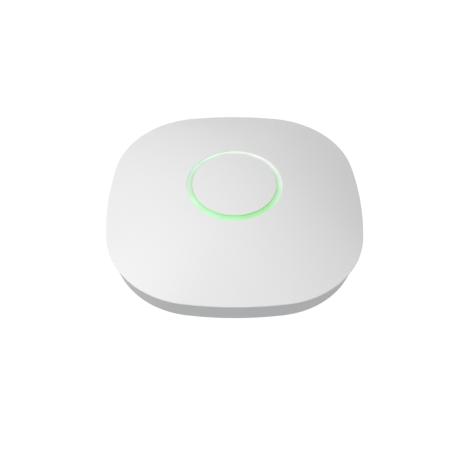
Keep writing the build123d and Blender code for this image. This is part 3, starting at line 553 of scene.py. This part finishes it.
combine(
    tray,
    "DIFFERENCE",
    block("bay", (-bay_half_width, bay_front, 0), (bay_half_width, bay_back, bay_ceiling)),
    block("channel", channel_cut_low, (channel_half_width, channel_cut_back, channel_ceiling)),
    repeated(window, [(-window_x, 0), (window_x, 0)]),
    button_hole,
    repeated(arc_slot("pockets", pocket_width, pocket_heights), [middle] * 4, stud_angles),
    repeated(arc_slot("slots", twist_slot_width, (0, floor_top)), [middle] * 4, stud_angles),
    repeated(pillar("entries", entry_radius, (0, floor_top)), entry_places),
    repeated(pillar("counterbores", counterbore_radius, (0, counterbore_top)), cover_screws),
    repeated(pillar("screw_holes", screw_hole_radius, (0, boss_top + MM)), cover_screws),
    repeated(pillar("post_pilots", pilot_radius, (post_pilot_bottom, post_top + MM)), board_posts),
    repeated(antenna_pilots, antenna_places),
    repeated(slot_pillar("vents", vent_length, vent_width, (0, floor_top + MM)), vent_places),
    label_recess_block,
)
soften(tray, 0.15 * MM)
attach(tray, "housing")
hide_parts("rear_housing")
tray_plastic = finish(
    "tray_plastic", (0.66, 0.67, 0.68), (0.64, 0.65, 0.66), 1500, 14, (0.42, 0.52), 0.015 * MM
)
dress(tray, tray_plastic)

# ---- rating label
# A film label in a shallow recess on the ceiling side. Left blank here.
# Silver-grey polyester, self-adhesive.
label_film = finish("label_film", (0.68, 0.69, 0.70), (0.64, 0.65, 0.66), 3000, 60, (0.35, 0.42), 0.002 * MM)
dress("rating_label", label_film)

# ---- cable door
# A loose plug that fills the side notch until a cable has to leave along the ceiling.
# Moulded in the tray's plastic; two legs slide in the channel and the face follows the tray's wall.
door_half_width, door_leg_wall, door_leg_y, door_face_y = 7.7 * MM, 1.5 * MM, 88 * MM, 94.6 * MM
door_heights = (tray_bottom + 0.3 * MM, channel_ceiling - 0.3 * MM)
door_low = (-door_half_width, door_leg_y, door_heights[0])
door = block("exit_door", door_low, (door_half_width, tray_top_half, door_heights[1]))
between_legs = door_half_width - door_leg_wall
gap_low = (-between_legs, door_leg_y - MM, door_heights[0] - MM)
gap_high = (between_legs, door_face_y, door_heights[1] + MM)
combine(door, "DIFFERENCE", block("between_legs", gap_low, gap_high))
combine(door, "INTERSECT", loft("tray_solid", tray_body, closed=False))
soften(door, 0.2 * MM)
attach(door, "cable_door")
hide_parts("cable_door")
dress(door, tray_plastic)

# ---- heat sink
# The casting that carries the chips' heat to the tray's floor, with a raised pad under each shield.
# Die-cast aluminium, bead blasted, held by four screws from the board.
cast_aluminium = finish(
    "cast_aluminium", (0.68, 0.69, 0.70), (0.60, 0.61, 0.62), 1800, 90, (0.42, 0.55), 0.01 * MM, metallic=1.0
)
dress("heat_sink", cast_aluminium)

# ---- thermal pads
# Soft pads that fill the gap between the shields and the heat sink.
# Blue-grey filled silicone, cut from sheet and pressed on.
silicone = finish("silicone_pad", (0.30, 0.38, 0.50), (0.26, 0.33, 0.45), 2200, 120, (0.6, 0.75), 0.01 * MM)
dress("thermal_pads", silicone)

# ---- main board
# The board with the radios, the processor and the power stage, components facing the ceiling.
# Glass and epoxy laminate with a green solder mask over copper tracks, screwed to the tray's posts.
def board_group():
    """Shared board look: tracks and pads that show through the solder mask."""
    group, given, result = shader_group("board_tracks", {
        "Mask Colour": (0.02, 0.12, 0.06, 1),
        "Track Colour": (0.05, 0.24, 0.12, 1),
        "Tracks per Metre": 260,
    }, Colour="Color", Roughness="Float", Height="Float")
    place = add_node(group, "ShaderNodeTexCoord").outputs["Object"]
    cells = add_node(group, "ShaderNodeTexVoronoi", feature="F1", distance="CHEBYCHEV")
    cells.inputs["Randomness"].default_value = 0.8
    link_all(group, [(place, cells.inputs["Vector"]), (given["Tracks per Metre"], cells.inputs["Scale"])])
    track = mapped(group, cells.outputs["Distance"], 0.0, 1.0, 0.38, 0.42)
    link_all(group, [
        (blended(group, track, given["Mask Colour"], given["Track Colour"]), result["Colour"]),
        (mapped(group, track, 0.28, 0.4), result["Roughness"]),
        (track, result["Height"]),
    ])
    return group


board_material, board_tree, board_shader = new_material("circuit_board")
tracks = add_node(board_tree, "ShaderNodeGroup", node_tree=board_group())
surface_from(board_tree, board_shader, tracks, 0.03 * MM)
dress("main_board", board_material)

# ---- shield cans
# Three lids that keep the radios' noise in, over the chips on the board's ceiling side.
# Bright tin-plated steel, folded and soldered down.
tin_plate = finish(
    "tin_plate", (0.70, 0.70, 0.69), (0.62, 0.62, 0.61), 1500, 220, (0.18, 0.32), 0.003 * MM, metallic=1.0
)
dress("shield_cans", tin_plate)

# ---- processors
# The processor and the two radio chips, one inside each shield.
# Matt black epoxy packages, soldered to the board.
CHIP_BLACK, CHIP_DRIFT = (0.02, 0.02, 0.02), (0.03, 0.03, 0.03)
chip_epoxy = finish("chip_epoxy", CHIP_BLACK, CHIP_DRIFT, 4000, 200, (0.45, 0.6), 0.004 * MM)
dress("processors", chip_epoxy)

# ---- memory chips
# Two memory packages on the board's room side.
# Matt black epoxy, soldered down.
dress("memory_chips", chip_epoxy)

# ---- transformer core
# The ferrite core of the isolated supply that feeds the board from the network cable.
# Two sintered halves glued together round the winding.
ferrite = finish("ferrite", (0.035, 0.036, 0.04), (0.055, 0.055, 0.06), 2600, 180, (0.5, 0.68), 0.01 * MM)
dress("transformer_core", ferrite)

# ---- transformer winding
# The winding on the core's middle leg.
# Enamelled copper wire under clear tape.
copper = finish(
    "copper_wire", (0.55, 0.25, 0.10), (0.42, 0.17, 0.07), 3500, 500, (0.25, 0.4), 0.03 * MM, metallic=1.0
)
dress("transformer_winding", copper)

# ---- power inductors
# Three moulded inductors of the supply's output stages.
# Pressed iron-powder blocks, soldered to the board.
dress("power_inductors", ferrite)

# ---- power capacitors
# Three electrolytic capacitors that smooth the supply.
# Drawn aluminium cans, soldered to the board.
drawn_can = finish(
    "drawn_aluminium", (0.74, 0.74, 0.75), (0.66, 0.66, 0.68), 2500, 300, (0.2, 0.3), 0.002 * MM, metallic=1.0
)
dress("power_capacitors", drawn_can)

# ---- jack shells
# The screened cans of the two network jacks, opening into the port bay.
# Tin-plated steel, folded round the jacks and soldered to the board.
dress("jack_shells", tin_plate)

# ---- jack inserts
# The insulating bodies of the two jacks, with the socket and the latch groove.
# Black glass-filled plastic, snapped into the shells.
black_plastic = finish("black_plastic", CHIP_BLACK, CHIP_DRIFT, 2200, 60, (0.4, 0.52), 0.01 * MM)
dress("jack_inserts", black_plastic)

# ---- jack contacts
# Eight spring contacts in each jack.
# Phosphor bronze with a flash of gold, moulded into the inserts.
gold = finish(
    "gold_flash", (0.83, 0.60, 0.22), (0.74, 0.52, 0.18), 3000, 500, (0.16, 0.26), 0.001 * MM, metallic=1.0
)
dress("jack_contacts", gold)

# ---- reset switch
# The tactile switch behind the button.
# Black plastic body with its plunger towards the bay, soldered to the board.
dress("reset_switch", black_plastic)

# ---- reset button
# The button in the bay's front wall; its flange keeps it from falling out.
# Dark grey plastic, held between the wall and the switch.
button_grey = finish("button_grey", (0.09, 0.1, 0.1), (0.07, 0.08, 0.08), 2400, 90, (0.42, 0.52), 0.008 * MM)
dress("reset_button", button_grey)

# ---- board screws
# Eight pan-head screws: four into the tray's posts and four into the heat sink.
# Zinc-plated steel, driven from the room side before the dome goes on.
dress("board_screws", zinc_plate)

# ---- antenna carriers
# Four small stools that hold the antennas clear of the board.
# Black glass-filled plastic, each on one boss of the tray's floor.
dress("antenna_carriers", black_plastic)

# ---- antenna screws
# One pan-head screw through each carrier.
# Zinc-plated steel, driven into the bosses.
dress("antenna_screws", zinc_plate)

# ---- antennas
# Four flat antennas, each with one folded leg that brings the signal in.
# Nickel-silver sheet, cut and folded, staked to the carriers.
nickel_silver = finish(
    "nickel_silver", (0.62, 0.58, 0.46), (0.54, 0.50, 0.40), 1600, 200, (0.24, 0.36), 0.003 * MM, metallic=1.0
)
dress("antennas", nickel_silver)

# ---- antenna leads
# A thin coaxial lead from each antenna's leg to its connector on the board.
# Black fluoropolymer jacket, 1.2 mm across.
LEAD_BLACK, LEAD_DRIFT = (0.03, 0.03, 0.03), (0.04, 0.04, 0.04)
lead_sleeve = finish("lead_sleeve", LEAD_BLACK, LEAD_DRIFT, 3000, 200, (0.32, 0.42), 0.004 * MM)
dress("antenna_leads", lead_sleeve)

# ---- antenna connectors
# Four miniature coaxial connectors at the board's edges.
# Gold-flashed brass, soldered down.
dress("antenna_connectors", gold)

# ---- light ring
# The milky ring that shows the unit's state. Its foot rests on the carrier, and the skirts of the dome
# and of the cap trap it. Translucent polycarbonate, lit from behind by twelve green lights.
ring_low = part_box("light_ring")[0]
ring_inner, ring_outer, ring_foot_reach = 33.5 * MM, 37.3 * MM, 1.2 * MM
ring_bottom, ring_ledge, ring_recess, ring_edge = ring_low.z, 37 * MM, 0.6 * MM, 0.12 * MM
dome_half, rim_height, dome_rise = 102.5 * MM, 23.2 * MM, 22.8 * MM


def dome_height(radius):
    """Height of the dome's surface at this distance from the middle, measured towards a side."""
    return rim_height + dome_rise * (1 - (radius / dome_half) ** 2)


def turned(name, profile, closed=True, steps=160):
    """Turns a profile, given as radius and height, round the middle axis."""
    piece = start_empty_mesh(name)
    first_point((profile[0][0], 0, profile[0][1]))
    path = profile + profile[:1] if closed else profile
    for (across, up), (next_across, next_up) in zip(path, path[1:]):
        step = (next_across - across, 0, next_up - up)
        bpy.ops.mesh.extrude_region_move(TRANSFORM_OT_translate={"value": step})
    bpy.ops.mesh.select_all(action="SELECT")
    spin_on((0, 0, 0), 360, steps)
    close_mesh()
    return piece


ring_profile = filleted([
    (ring_inner, ring_ledge, 0),
    (ring_inner - ring_foot_reach, ring_ledge, 0),
    (ring_inner - ring_foot_reach, ring_bottom, 0),
    (ring_outer + ring_foot_reach, ring_bottom, 0),
    (ring_outer + ring_foot_reach, ring_ledge, 0),
    (ring_outer, ring_ledge, 0),
    (ring_outer, dome_height(ring_outer) - ring_recess, ring_edge),
    (ring_inner, dome_height(ring_inner) - ring_recess, ring_edge),
])
lens = turned("ring_lens", ring_profile)
soften(lens, 0)
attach(lens, "housing")
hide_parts("light_ring")
# each light's glow through the milky ring, from the -X axis on through -Y; the paler, whiter stops on the far
# right side are a painted reflection of the studio light, not lights of another colour
LIGHT_GLOW_AND_PAINTED_REFLECTION = [
    (0.43, 0.60, 0.43), (0.39, 0.81, 0.45), (0.32, 0.79, 0.35),
    (0.24, 0.77, 0.25), (0.22, 0.64, 0.19), (0.31, 0.72, 0.31),
    (0.52, 0.73, 0.53), (0.72, 0.72, 0.72), (0.80, 0.78, 0.79),
    (0.68, 0.79, 0.70), (0.65, 0.81, 0.63), (0.44, 0.72, 0.54),
]


def around_middle(tree):
    """X, Y and the distance from the middle axis."""
    split = add_node(tree, "ShaderNodeSeparateXYZ")
    flat = add_node(tree, "ShaderNodeCombineXYZ")
    radius = add_node(tree, "ShaderNodeVectorMath", operation="LENGTH")
    link_all(tree, [
        (add_node(tree, "ShaderNodeTexCoord").outputs["Object"], split.inputs[0]),
        (split.outputs["X"], flat.inputs["X"]),
        (split.outputs["Y"], flat.inputs["Y"]),
        (flat.outputs[0], radius.inputs[0]),
    ])
    return split.outputs["X"], split.outputs["Y"], radius.outputs["Value"]


def calculated(tree, operation, *values, kind="ShaderNodeMath"):
    """The result of a maths node on these numbers or sockets."""
    node = add_node(tree, kind, operation=operation)
    feed(tree, node.inputs, values)
    return node.outputs[0]


def glow_group():
    """The lit ring's colour: it drifts round the ring, paler on the far right where a reflection of the
    studio light is painted in, ripples with the lights and fades across it, darker at the inner edge as
    painted shade.
    """
    group, given, result = shader_group("ring_glow", {
        "Lights": len(LIGHT_GLOW_AND_PAINTED_REFLECTION),
        "Ripple": 0.04,
        "Inner Radius": ring_inner,
        "Outer Radius": ring_outer,
        "Inner Shade Tint": (0.58, 0.86, 0.58, 1),
        "Outer Tint": (1.42, 1.1, 1.42, 1),
    }, Colour="Color")
    x, y, radius = around_middle(group)
    angle = calculated(group, "ARCTAN2", y, x)
    wave = calculated(group, "COSINE", calculated(group, "MULTIPLY", angle, given["Lights"]))
    ripple = calculated(group, "MULTIPLY_ADD", wave, given["Ripple"], 1.0)
    ramp = add_node(group, "ShaderNodeValToRGB")
    stops = ramp.color_ramp.elements
    # the paler, whiter stops on the far right hold a painted reflection of the studio light
    for number, colour in enumerate(LIGHT_GLOW_AND_PAINTED_REFLECTION[1:], 1):
        stops.new(number / len(LIGHT_GLOW_AND_PAINTED_REFLECTION)).color = (*colour, 1)
    stops[0].color = stops[-1].color = (*LIGHT_GLOW_AND_PAINTED_REFLECTION[0], 1)
    group.links.new(mapped(group, angle, 0.0, 1.0, -math.pi, math.pi), ramp.inputs["Fac"])
    across = mapped(group, radius, 0.0, 1.0, given["Inner Radius"], given["Outer Radius"])
    # the inner tint paints the ring darker and deeper green at its inner edge, as painted shade from the
    # groove's inner wall; the outer tint makes it paler towards its outer edge
    tint = blended(group, across, given["Inner Shade Tint"], given["Outer Tint"])
    lit = calculated(group, "MULTIPLY", ramp.outputs["Color"], tint, kind="ShaderNodeVectorMath")
    rippled = add_node(group, "ShaderNodeVectorMath", operation="SCALE")
    link_all(group, [
        (lit, rippled.inputs[0]),
        (ripple, rippled.inputs["Scale"]),
        (rippled.outputs[0], result["Colour"]),
    ])
    return group


milky = finish("milky_diffuser", (0.30, 0.36, 0.30), (0.30, 0.36, 0.30), 2500, 40, (0.3, 0.36), 0.002 * MM)
milky_shader = milky.node_tree.nodes["Principled BSDF"]
glow = add_node(milky.node_tree, "ShaderNodeGroup", node_tree=glow_group())
milky.node_tree.links.new(glow.outputs["Colour"], milky_shader.inputs["Emission Color"])
milky_shader.inputs["Emission Strength"].default_value = 0.75
dress(lens, milky)

# ---- centre cap
# The round cap inside the ring; it carries on the dome's curve. Three posts on its inside are melted
# over behind the carrier. Injection-moulded in the cover's white plastic.
cap_low, cap_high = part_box("centre_cap")
cap_radius, cap_wall, skirt_wall, cap_edge = cap_high.x, 2.4 * MM, 2.2 * MM, 0.3 * MM
cap_post_radius, stake_radius, cap_post_circle, stake_top = 1.5 * MM, 2.4 * MM, 18 * MM, 34.4 * MM
cap_steps = 14
cap_outside = [
    (cap_radius * step / cap_steps, dome_height(cap_radius * step / cap_steps)) for step in range(cap_steps)
]
cap_rim = filleted([
    (*cap_outside[-1], 0),
    (cap_radius, dome_height(cap_radius), cap_edge),
    (cap_radius, ring_ledge, 0.1 * MM),
    (cap_radius - skirt_wall, ring_ledge, 0.1 * MM),
    (cap_radius - skirt_wall, dome_height(cap_radius) - cap_wall, 0),
    (0, cap_high.z - cap_wall, 0),
])
cap = turned("cap_disc", cap_outside + cap_rim[1:], closed=False)
cap_post_places = [on_circle(cap_post_circle, angle) for angle in (30, 150, 270)]
combine(
    cap,
    "UNION",
    repeated(pillar("posts", cap_post_radius, (cap_low.z, cap_high.z - cap_wall)), cap_post_places),
    repeated(pillar("stakes", stake_radius, (cap_low.z, stake_top)), cap_post_places),
)
soften(cap, 0)
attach(cap, "housing")
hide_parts("centre_cap")
COVER_WHITE, COVER_DRIFT = (0.86, 0.86, 0.865), (0.85, 0.85, 0.855)


def paint_ring_light_group():
    """Painted ring light on the plastic beside the ring, most on the -Y side: a painted green tint and a
    faint painted glow where the ring's light would fall.
    """
    group, given, result = shader_group("painted_ring_light", {
        "Colour": (0.86, 0.86, 0.86, 1),
        "Tint": (0.72, 0.86, 0.72, 1),
        "Glow": (0.0, 0.1, 0.0, 1),
        "Edge Radius": ring_outer,
        "Clear Radius": ring_outer + 2 * MM,
        "Far Side": 0.25,
    }, Colour="Color", Glow="Color")
    _, y, radius = around_middle(group)
    across = mapped(group, radius, 1.0, 0.0, given["Edge Radius"], given["Clear Radius"])
    near = mapped(group, y, 1.0, given["Far Side"], -ring_inner, -0.2 * ring_inner)
    amount = calculated(group, "MULTIPLY", across, near)
    link_all(group, [
        (blended(group, amount, given["Colour"], given["Tint"]), result["Colour"]),
        (blended(group, amount, (0.0, 0.0, 0.0, 1), given["Glow"]), result["Glow"]),
    ])
    return group


ring_light_paint_group = paint_ring_light_group()


def paint_ring_light_on(material, edge_radius, clear_radius, tint, painted_glow_colour):
    """Puts the painted ring light, a painted green tint and a faint painted glow, between the finish and the
    shader.
    """
    tree = material.node_tree
    shader = tree.nodes["Principled BSDF"]
    painted_light_node = add_node(tree, "ShaderNodeGroup", node_tree=ring_light_paint_group)
    painted_light_node.inputs["Tint"].default_value = (*tint, 1)
    painted_light_node.inputs["Glow"].default_value = (*painted_glow_colour, 1)
    painted_light_node.inputs["Edge Radius"].default_value = edge_radius
    painted_light_node.inputs["Clear Radius"].default_value = clear_radius
    shader.inputs["Emission Strength"].default_value = 1.0
    link_all(tree, [
        (shader.inputs["Base Color"].links[0].from_socket, painted_light_node.inputs["Colour"]),
        (painted_light_node.outputs["Colour"], shader.inputs["Base Color"]),
        (painted_light_node.outputs["Glow"], shader.inputs["Emission Color"]),
    ])


cap_plastic = finish("cap_plastic", COVER_WHITE, COVER_DRIFT, 1500, 10, (0.45, 0.5), 0.006 * MM)
# the cap's edge gets a painted green tint and a faint painted glow in place of the ring's light falling on it
paint_ring_light_on(cap_plastic, cap_radius, cap_radius - 1.6 * MM, (0.76, 0.86, 0.76), (0.0, 0.04, 0.0))
dress(cap, cap_plastic)

# ---- ring carrier
# The frame behind the ring: a channel with twelve light wells, a disc that the cap is staked to,
# and three screw ears. White plastic, screwed to the dome with the light board.
inner_plastic = finish(
    "inner_white", (0.78, 0.78, 0.76), (0.75, 0.75, 0.73), 1500, 20, (0.4, 0.5), 0.006 * MM
)
dress("ring_carrier", inner_plastic)

# ---- light board
# The ring-shaped board under the carrier, with the twelve lights.
# The main board's laminate and solder mask, held by the same three screws as the carrier.
dress("led_board", board_material)

# ---- ring lights
# Twelve surface-mounted lights, one in each well of the carrier.
# Clear epoxy over yellow-green phosphor, soldered to the light board.
lens_epoxy = finish(
    "lens_epoxy", (0.72, 0.80, 0.40), (0.66, 0.76, 0.34), 3000, 300, (0.15, 0.25), 0.002 * MM, coat=0.5
)
dress("ring_leds", lens_epoxy)

# ---- ring screws
# Three small screws through the light board's and the carrier's ears.
# Zinc-plated steel, driven up into the dome's bosses.
dress("ring_screws", zinc_plate)

# ---- light connectors
# A pair of ribbon connectors: one under the light board and one on the main board.
# Natural nylon, soldered down.
nylon = finish("natural_nylon", (0.74, 0.70, 0.58), (0.70, 0.66, 0.54), 2000, 150, (0.35, 0.45), 0.008 * MM)
dress("led_connectors", nylon)

# ---- light ribbon
# The flat cable from the main board to the light board, with one loop of slack.
# Off-white jacket over six fine wires.
ribbon_film = finish("ribbon_film", (0.7, 0.68, 0.62), (0.66, 0.64, 0.58), 2400, 300, (0.35, 0.45), 0.01 * MM)
dress("led_ribbon", ribbon_film)

# ---- dome cover
# The white front shell, with a round opening for the ring, an upright lip over the shadow gap and
# a tongue inside the tray's wall. Injection-moulded white plastic, 2.4 mm thick, with seven screw bosses.
cover_low, cover_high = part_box("front_cover")
cover_wall, lip_bottom, rim_round = 2.4 * MM, 22.6 * MM, 0.5 * MM
opening_radius, opening_edge = 37.5 * MM, 0.3 * MM
tongue_outer, tongue_inner, tongue_bottom = 98.9 * MM, 97.4 * MM, cover_low.z + 2.1 * MM
cover_boss_radius, cover_boss_bottom, cover_pilot, cover_pilot_top = 4 * MM, 18.2 * MM, 1.5 * MM, 26.5 * MM
ear_places = [on_circle(48 * MM, angle) for angle in (90, 210, 330)]
ear_boss_radius, ear_boss_bottom, ear_pilot_top = 3.2 * MM, 33.2 * MM, 38.2 * MM


def dome_squareness(radius):
    """1 at the rim, falling to 0, a circle, at the ring's opening."""
    return max(0.0, (radius - opening_radius) / (dome_half - opening_radius)) ** 1.3


def dome_outlines(radii, depth):
    """Outlines this deep under the dome's surface."""
    outlines = []
    for radius in radii:
        slope = math.atan2(2 * dome_rise * radius, dome_half**2)
        half, height = radius - depth * math.sin(slope), dome_height(radius) - depth * math.cos(slope)
        outlines.append((half, height, dome_squareness(radius)))
    return outlines


def spaced(first, last, count):
    """Evenly spaced numbers, both ends included."""
    return [first + (last - first) * number / (count - 1) for number in range(count)]


slant = 0.02 * MM  # no two neighbouring outlines share a level, which keeps the bridges untwisted
outside = dome_outlines(spaced(100.5 * MM, 40 * MM, 20), 0)
inside = dome_outlines(spaced(42.5 * MM, 97.5 * MM, 14), cover_wall)
rim_corner = filleted([
    (tongue_outer, tongue_bottom, 0.2 * MM, 1),
    (tongue_outer, lip_bottom + slant, 0, 1),
    (dome_half, lip_bottom, 0.12 * MM, 1),
    (dome_half, rim_height, rim_round, 1),
    (*outside[0][:2], 0, outside[0][2]),
    (tongue_inner, rim_height - 0.4 * MM, 0, 1),
    (tongue_inner, tongue_bottom + slant, 0.2 * MM, 1),
])
opening_corner = filleted([
    (*outside[-1][:2], 0, outside[-1][2]),
    (opening_radius, dome_height(opening_radius), opening_edge, 0),
    (opening_radius, ring_ledge, 0.15 * MM, 0),
    (opening_radius + skirt_wall, ring_ledge + slant, 0.15 * MM, 0),
    (opening_radius + skirt_wall, dome_height(opening_radius + skirt_wall) - cover_wall, 0, 0),
    (*inside[0][:2], 0, inside[0][2]),
], steps=3)
arc_points = 5
before_dome, after_dome = rim_corner[: -arc_points - 2], rim_corner[-arc_points - 1 :]
cover = loft("dome_cover", before_dome + outside[:-1] + opening_corner + inside[1:] + after_dome, closed=True)
boss_limit = [(tongue_inner, cover_boss_bottom - MM, 1)]
boss_limit += dome_outlines(spaced(99 * MM, 39 * MM, 12), cover_wall / 2)
boss_pillars = joined("cover_bosses", [
    repeated(pillar("screw_bosses", cover_boss_radius, (cover_boss_bottom, cover_high.z)), cover_screws),
    repeated(pillar("ear_bosses", ear_boss_radius, (ear_boss_bottom, cover_high.z)), ear_places),
])
combine(boss_pillars, "INTERSECT", loft("boss_limit", boss_limit, closed=False))
combine(cover, "UNION", boss_pillars)
combine(
    cover,
    "DIFFERENCE",
    repeated(pillar("pilots", cover_pilot, (cover_boss_bottom - MM, cover_pilot_top)), cover_screws),
    repeated(pillar("ear_pilots", pilot_radius, (ear_boss_bottom - MM, ear_pilot_top)), ear_places),
)
soften(cover, 0)
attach(cover, "housing")
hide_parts("front_cover")
cover_plastic = finish("cover_plastic", COVER_WHITE, COVER_DRIFT, 1500, 10, (0.45, 0.5), 0.006 * MM)
# the cover beside the opening gets a painted green tint and a faint painted glow in place of the ring's light
# falling on it
painted_light_end = opening_radius + 2.4 * MM
paint_ring_light_on(cover_plastic, opening_radius, painted_light_end, (0.66, 0.85, 0.66), (0.0, 0.13, 0.0))
dress(cover, cover_plastic)

# ---- housing screws
# Four long screws from the ceiling side through the tray into the dome's bosses.
# Zinc-plated steel, their heads sunk in counterbores.
dress("housing_screws", zinc_plate)

# ---- floor, light and camera
# A pale floor that glows softly like a light table, a large soft light from the left, weaker ones in front
# and overhead, a little light from all round, and a dark card behind the far right corner.
floor_size, floor_drop, floor_glow, white_seen, surround_glow = 12, 0.1 * MM, 0.64, 1.05, 0.41
card_size, card_place, card_facing = 0.5, (0.36, 0.46, 0.30), (0.36, 0.46, 0.26)
deselect_everything()
bpy.ops.mesh.primitive_plane_add(size=floor_size, location=(0, 0, -floor_drop))
floor = settle("floor")


def white_source(tree, kind, strength):
    """An even white emission or background shader."""
    node = add_node(tree, kind)
    feed(tree, (node.inputs["Color"], node.inputs["Strength"]), ((1, 1, 1, 1), strength))
    return node.outputs[0]


def mixed(tree, factor, first, second):
    """The first shader where the factor is 0 and the second where it is 1."""
    node = add_node(tree, "ShaderNodeMixShader")
    feed(tree, node.inputs, (factor, first, second))
    return node.outputs["Shader"]


floor_material, floor_tree, floor_shader = new_material("floor_white")
floor_material.cycles.emission_sampling = "NONE"
floor_tree.nodes.remove(floor_shader)
seen = add_node(floor_tree, "ShaderNodeLightPath").outputs["Is Camera Ray"]
glow_source = white_source(floor_tree, "ShaderNodeEmission", floor_glow)
floor_front = mixed(floor_tree, seen, glow_source, white_source(floor_tree, "ShaderNodeEmission", white_seen))
from_below = add_node(floor_tree, "ShaderNodeNewGeometry").outputs["Backfacing"]
clear = add_node(floor_tree, "ShaderNodeBsdfTransparent").outputs["BSDF"]
floor_look = mixed(floor_tree, from_below, floor_front, clear)
floor_tree.links.new(floor_look, floor_tree.nodes["Material Output"].inputs["Surface"])
dress(floor, floor_material)


def soft_light(name, place, size, power):
    """A square light of this size, in metres, that faces the object."""
    deselect_everything()
    bpy.ops.object.light_add(type="AREA", location=place)
    light = bpy.context.object
    light.name = light.data.name = name
    light.data.shape = "SQUARE"
    light.data.size, light.data.energy = size, power
    light.rotation_euler = (-Vector(place)).to_track_quat("-Z", "Y").to_euler()


soft_light("key_light", (-0.95, -0.06, 1.2), 0.9, 10.2)
soft_light("front_light", (0.0, -1.0, 1.2), 0.9, 2.4)
soft_light("top_light", (-0.1, 0.0, 1.5), 1.4, 3.6)
deselect_everything()
bpy.ops.mesh.primitive_plane_add(size=card_size, location=card_place)
card = bpy.context.object
card.name = card.data.name = "dark_card"
card.rotation_euler = Vector(card_facing).to_track_quat("Z", "Y").to_euler()
card_material, _, card_shader = new_material("card_black")
card_shader.inputs["Base Color"].default_value = (0.02, 0.02, 0.02, 1)
dress(card, card_material)
card.visible_camera = False
world = bpy.data.worlds.new("studio")
bpy.context.scene.world = world
world.use_nodes = True
world_tree = world.node_tree
world_tree.nodes.remove(world_tree.nodes["Background"])
ray = add_node(world_tree, "ShaderNodeLightPath").outputs["Is Camera Ray"]
surround = white_source(world_tree, "ShaderNodeBackground", surround_glow)
backdrop = mixed(world_tree, ray, surround, white_source(world_tree, "ShaderNodeBackground", white_seen))
world_tree.links.new(backdrop, world_tree.nodes["World Output"].inputs["Surface"])

aim = Vector((-7.5, -25.83, 23.2)) * MM
distance, elevation = 527.9 * MM, math.radians(50.04)
deselect_everything()
bpy.ops.object.camera_add(location=aim + distance * Vector((0, -math.cos(elevation), math.sin(elevation))))
camera = bpy.context.object
camera.rotation_euler = (math.pi / 2 - elevation, 0, 0)
camera.data.sensor_width, camera.data.lens = 36, 53.6
camera.data.clip_start, camera.data.clip_end = 0.01, 20
bpy.context.scene.camera = camera
bpy.context.scene.view_settings.view_transform = "Standard"
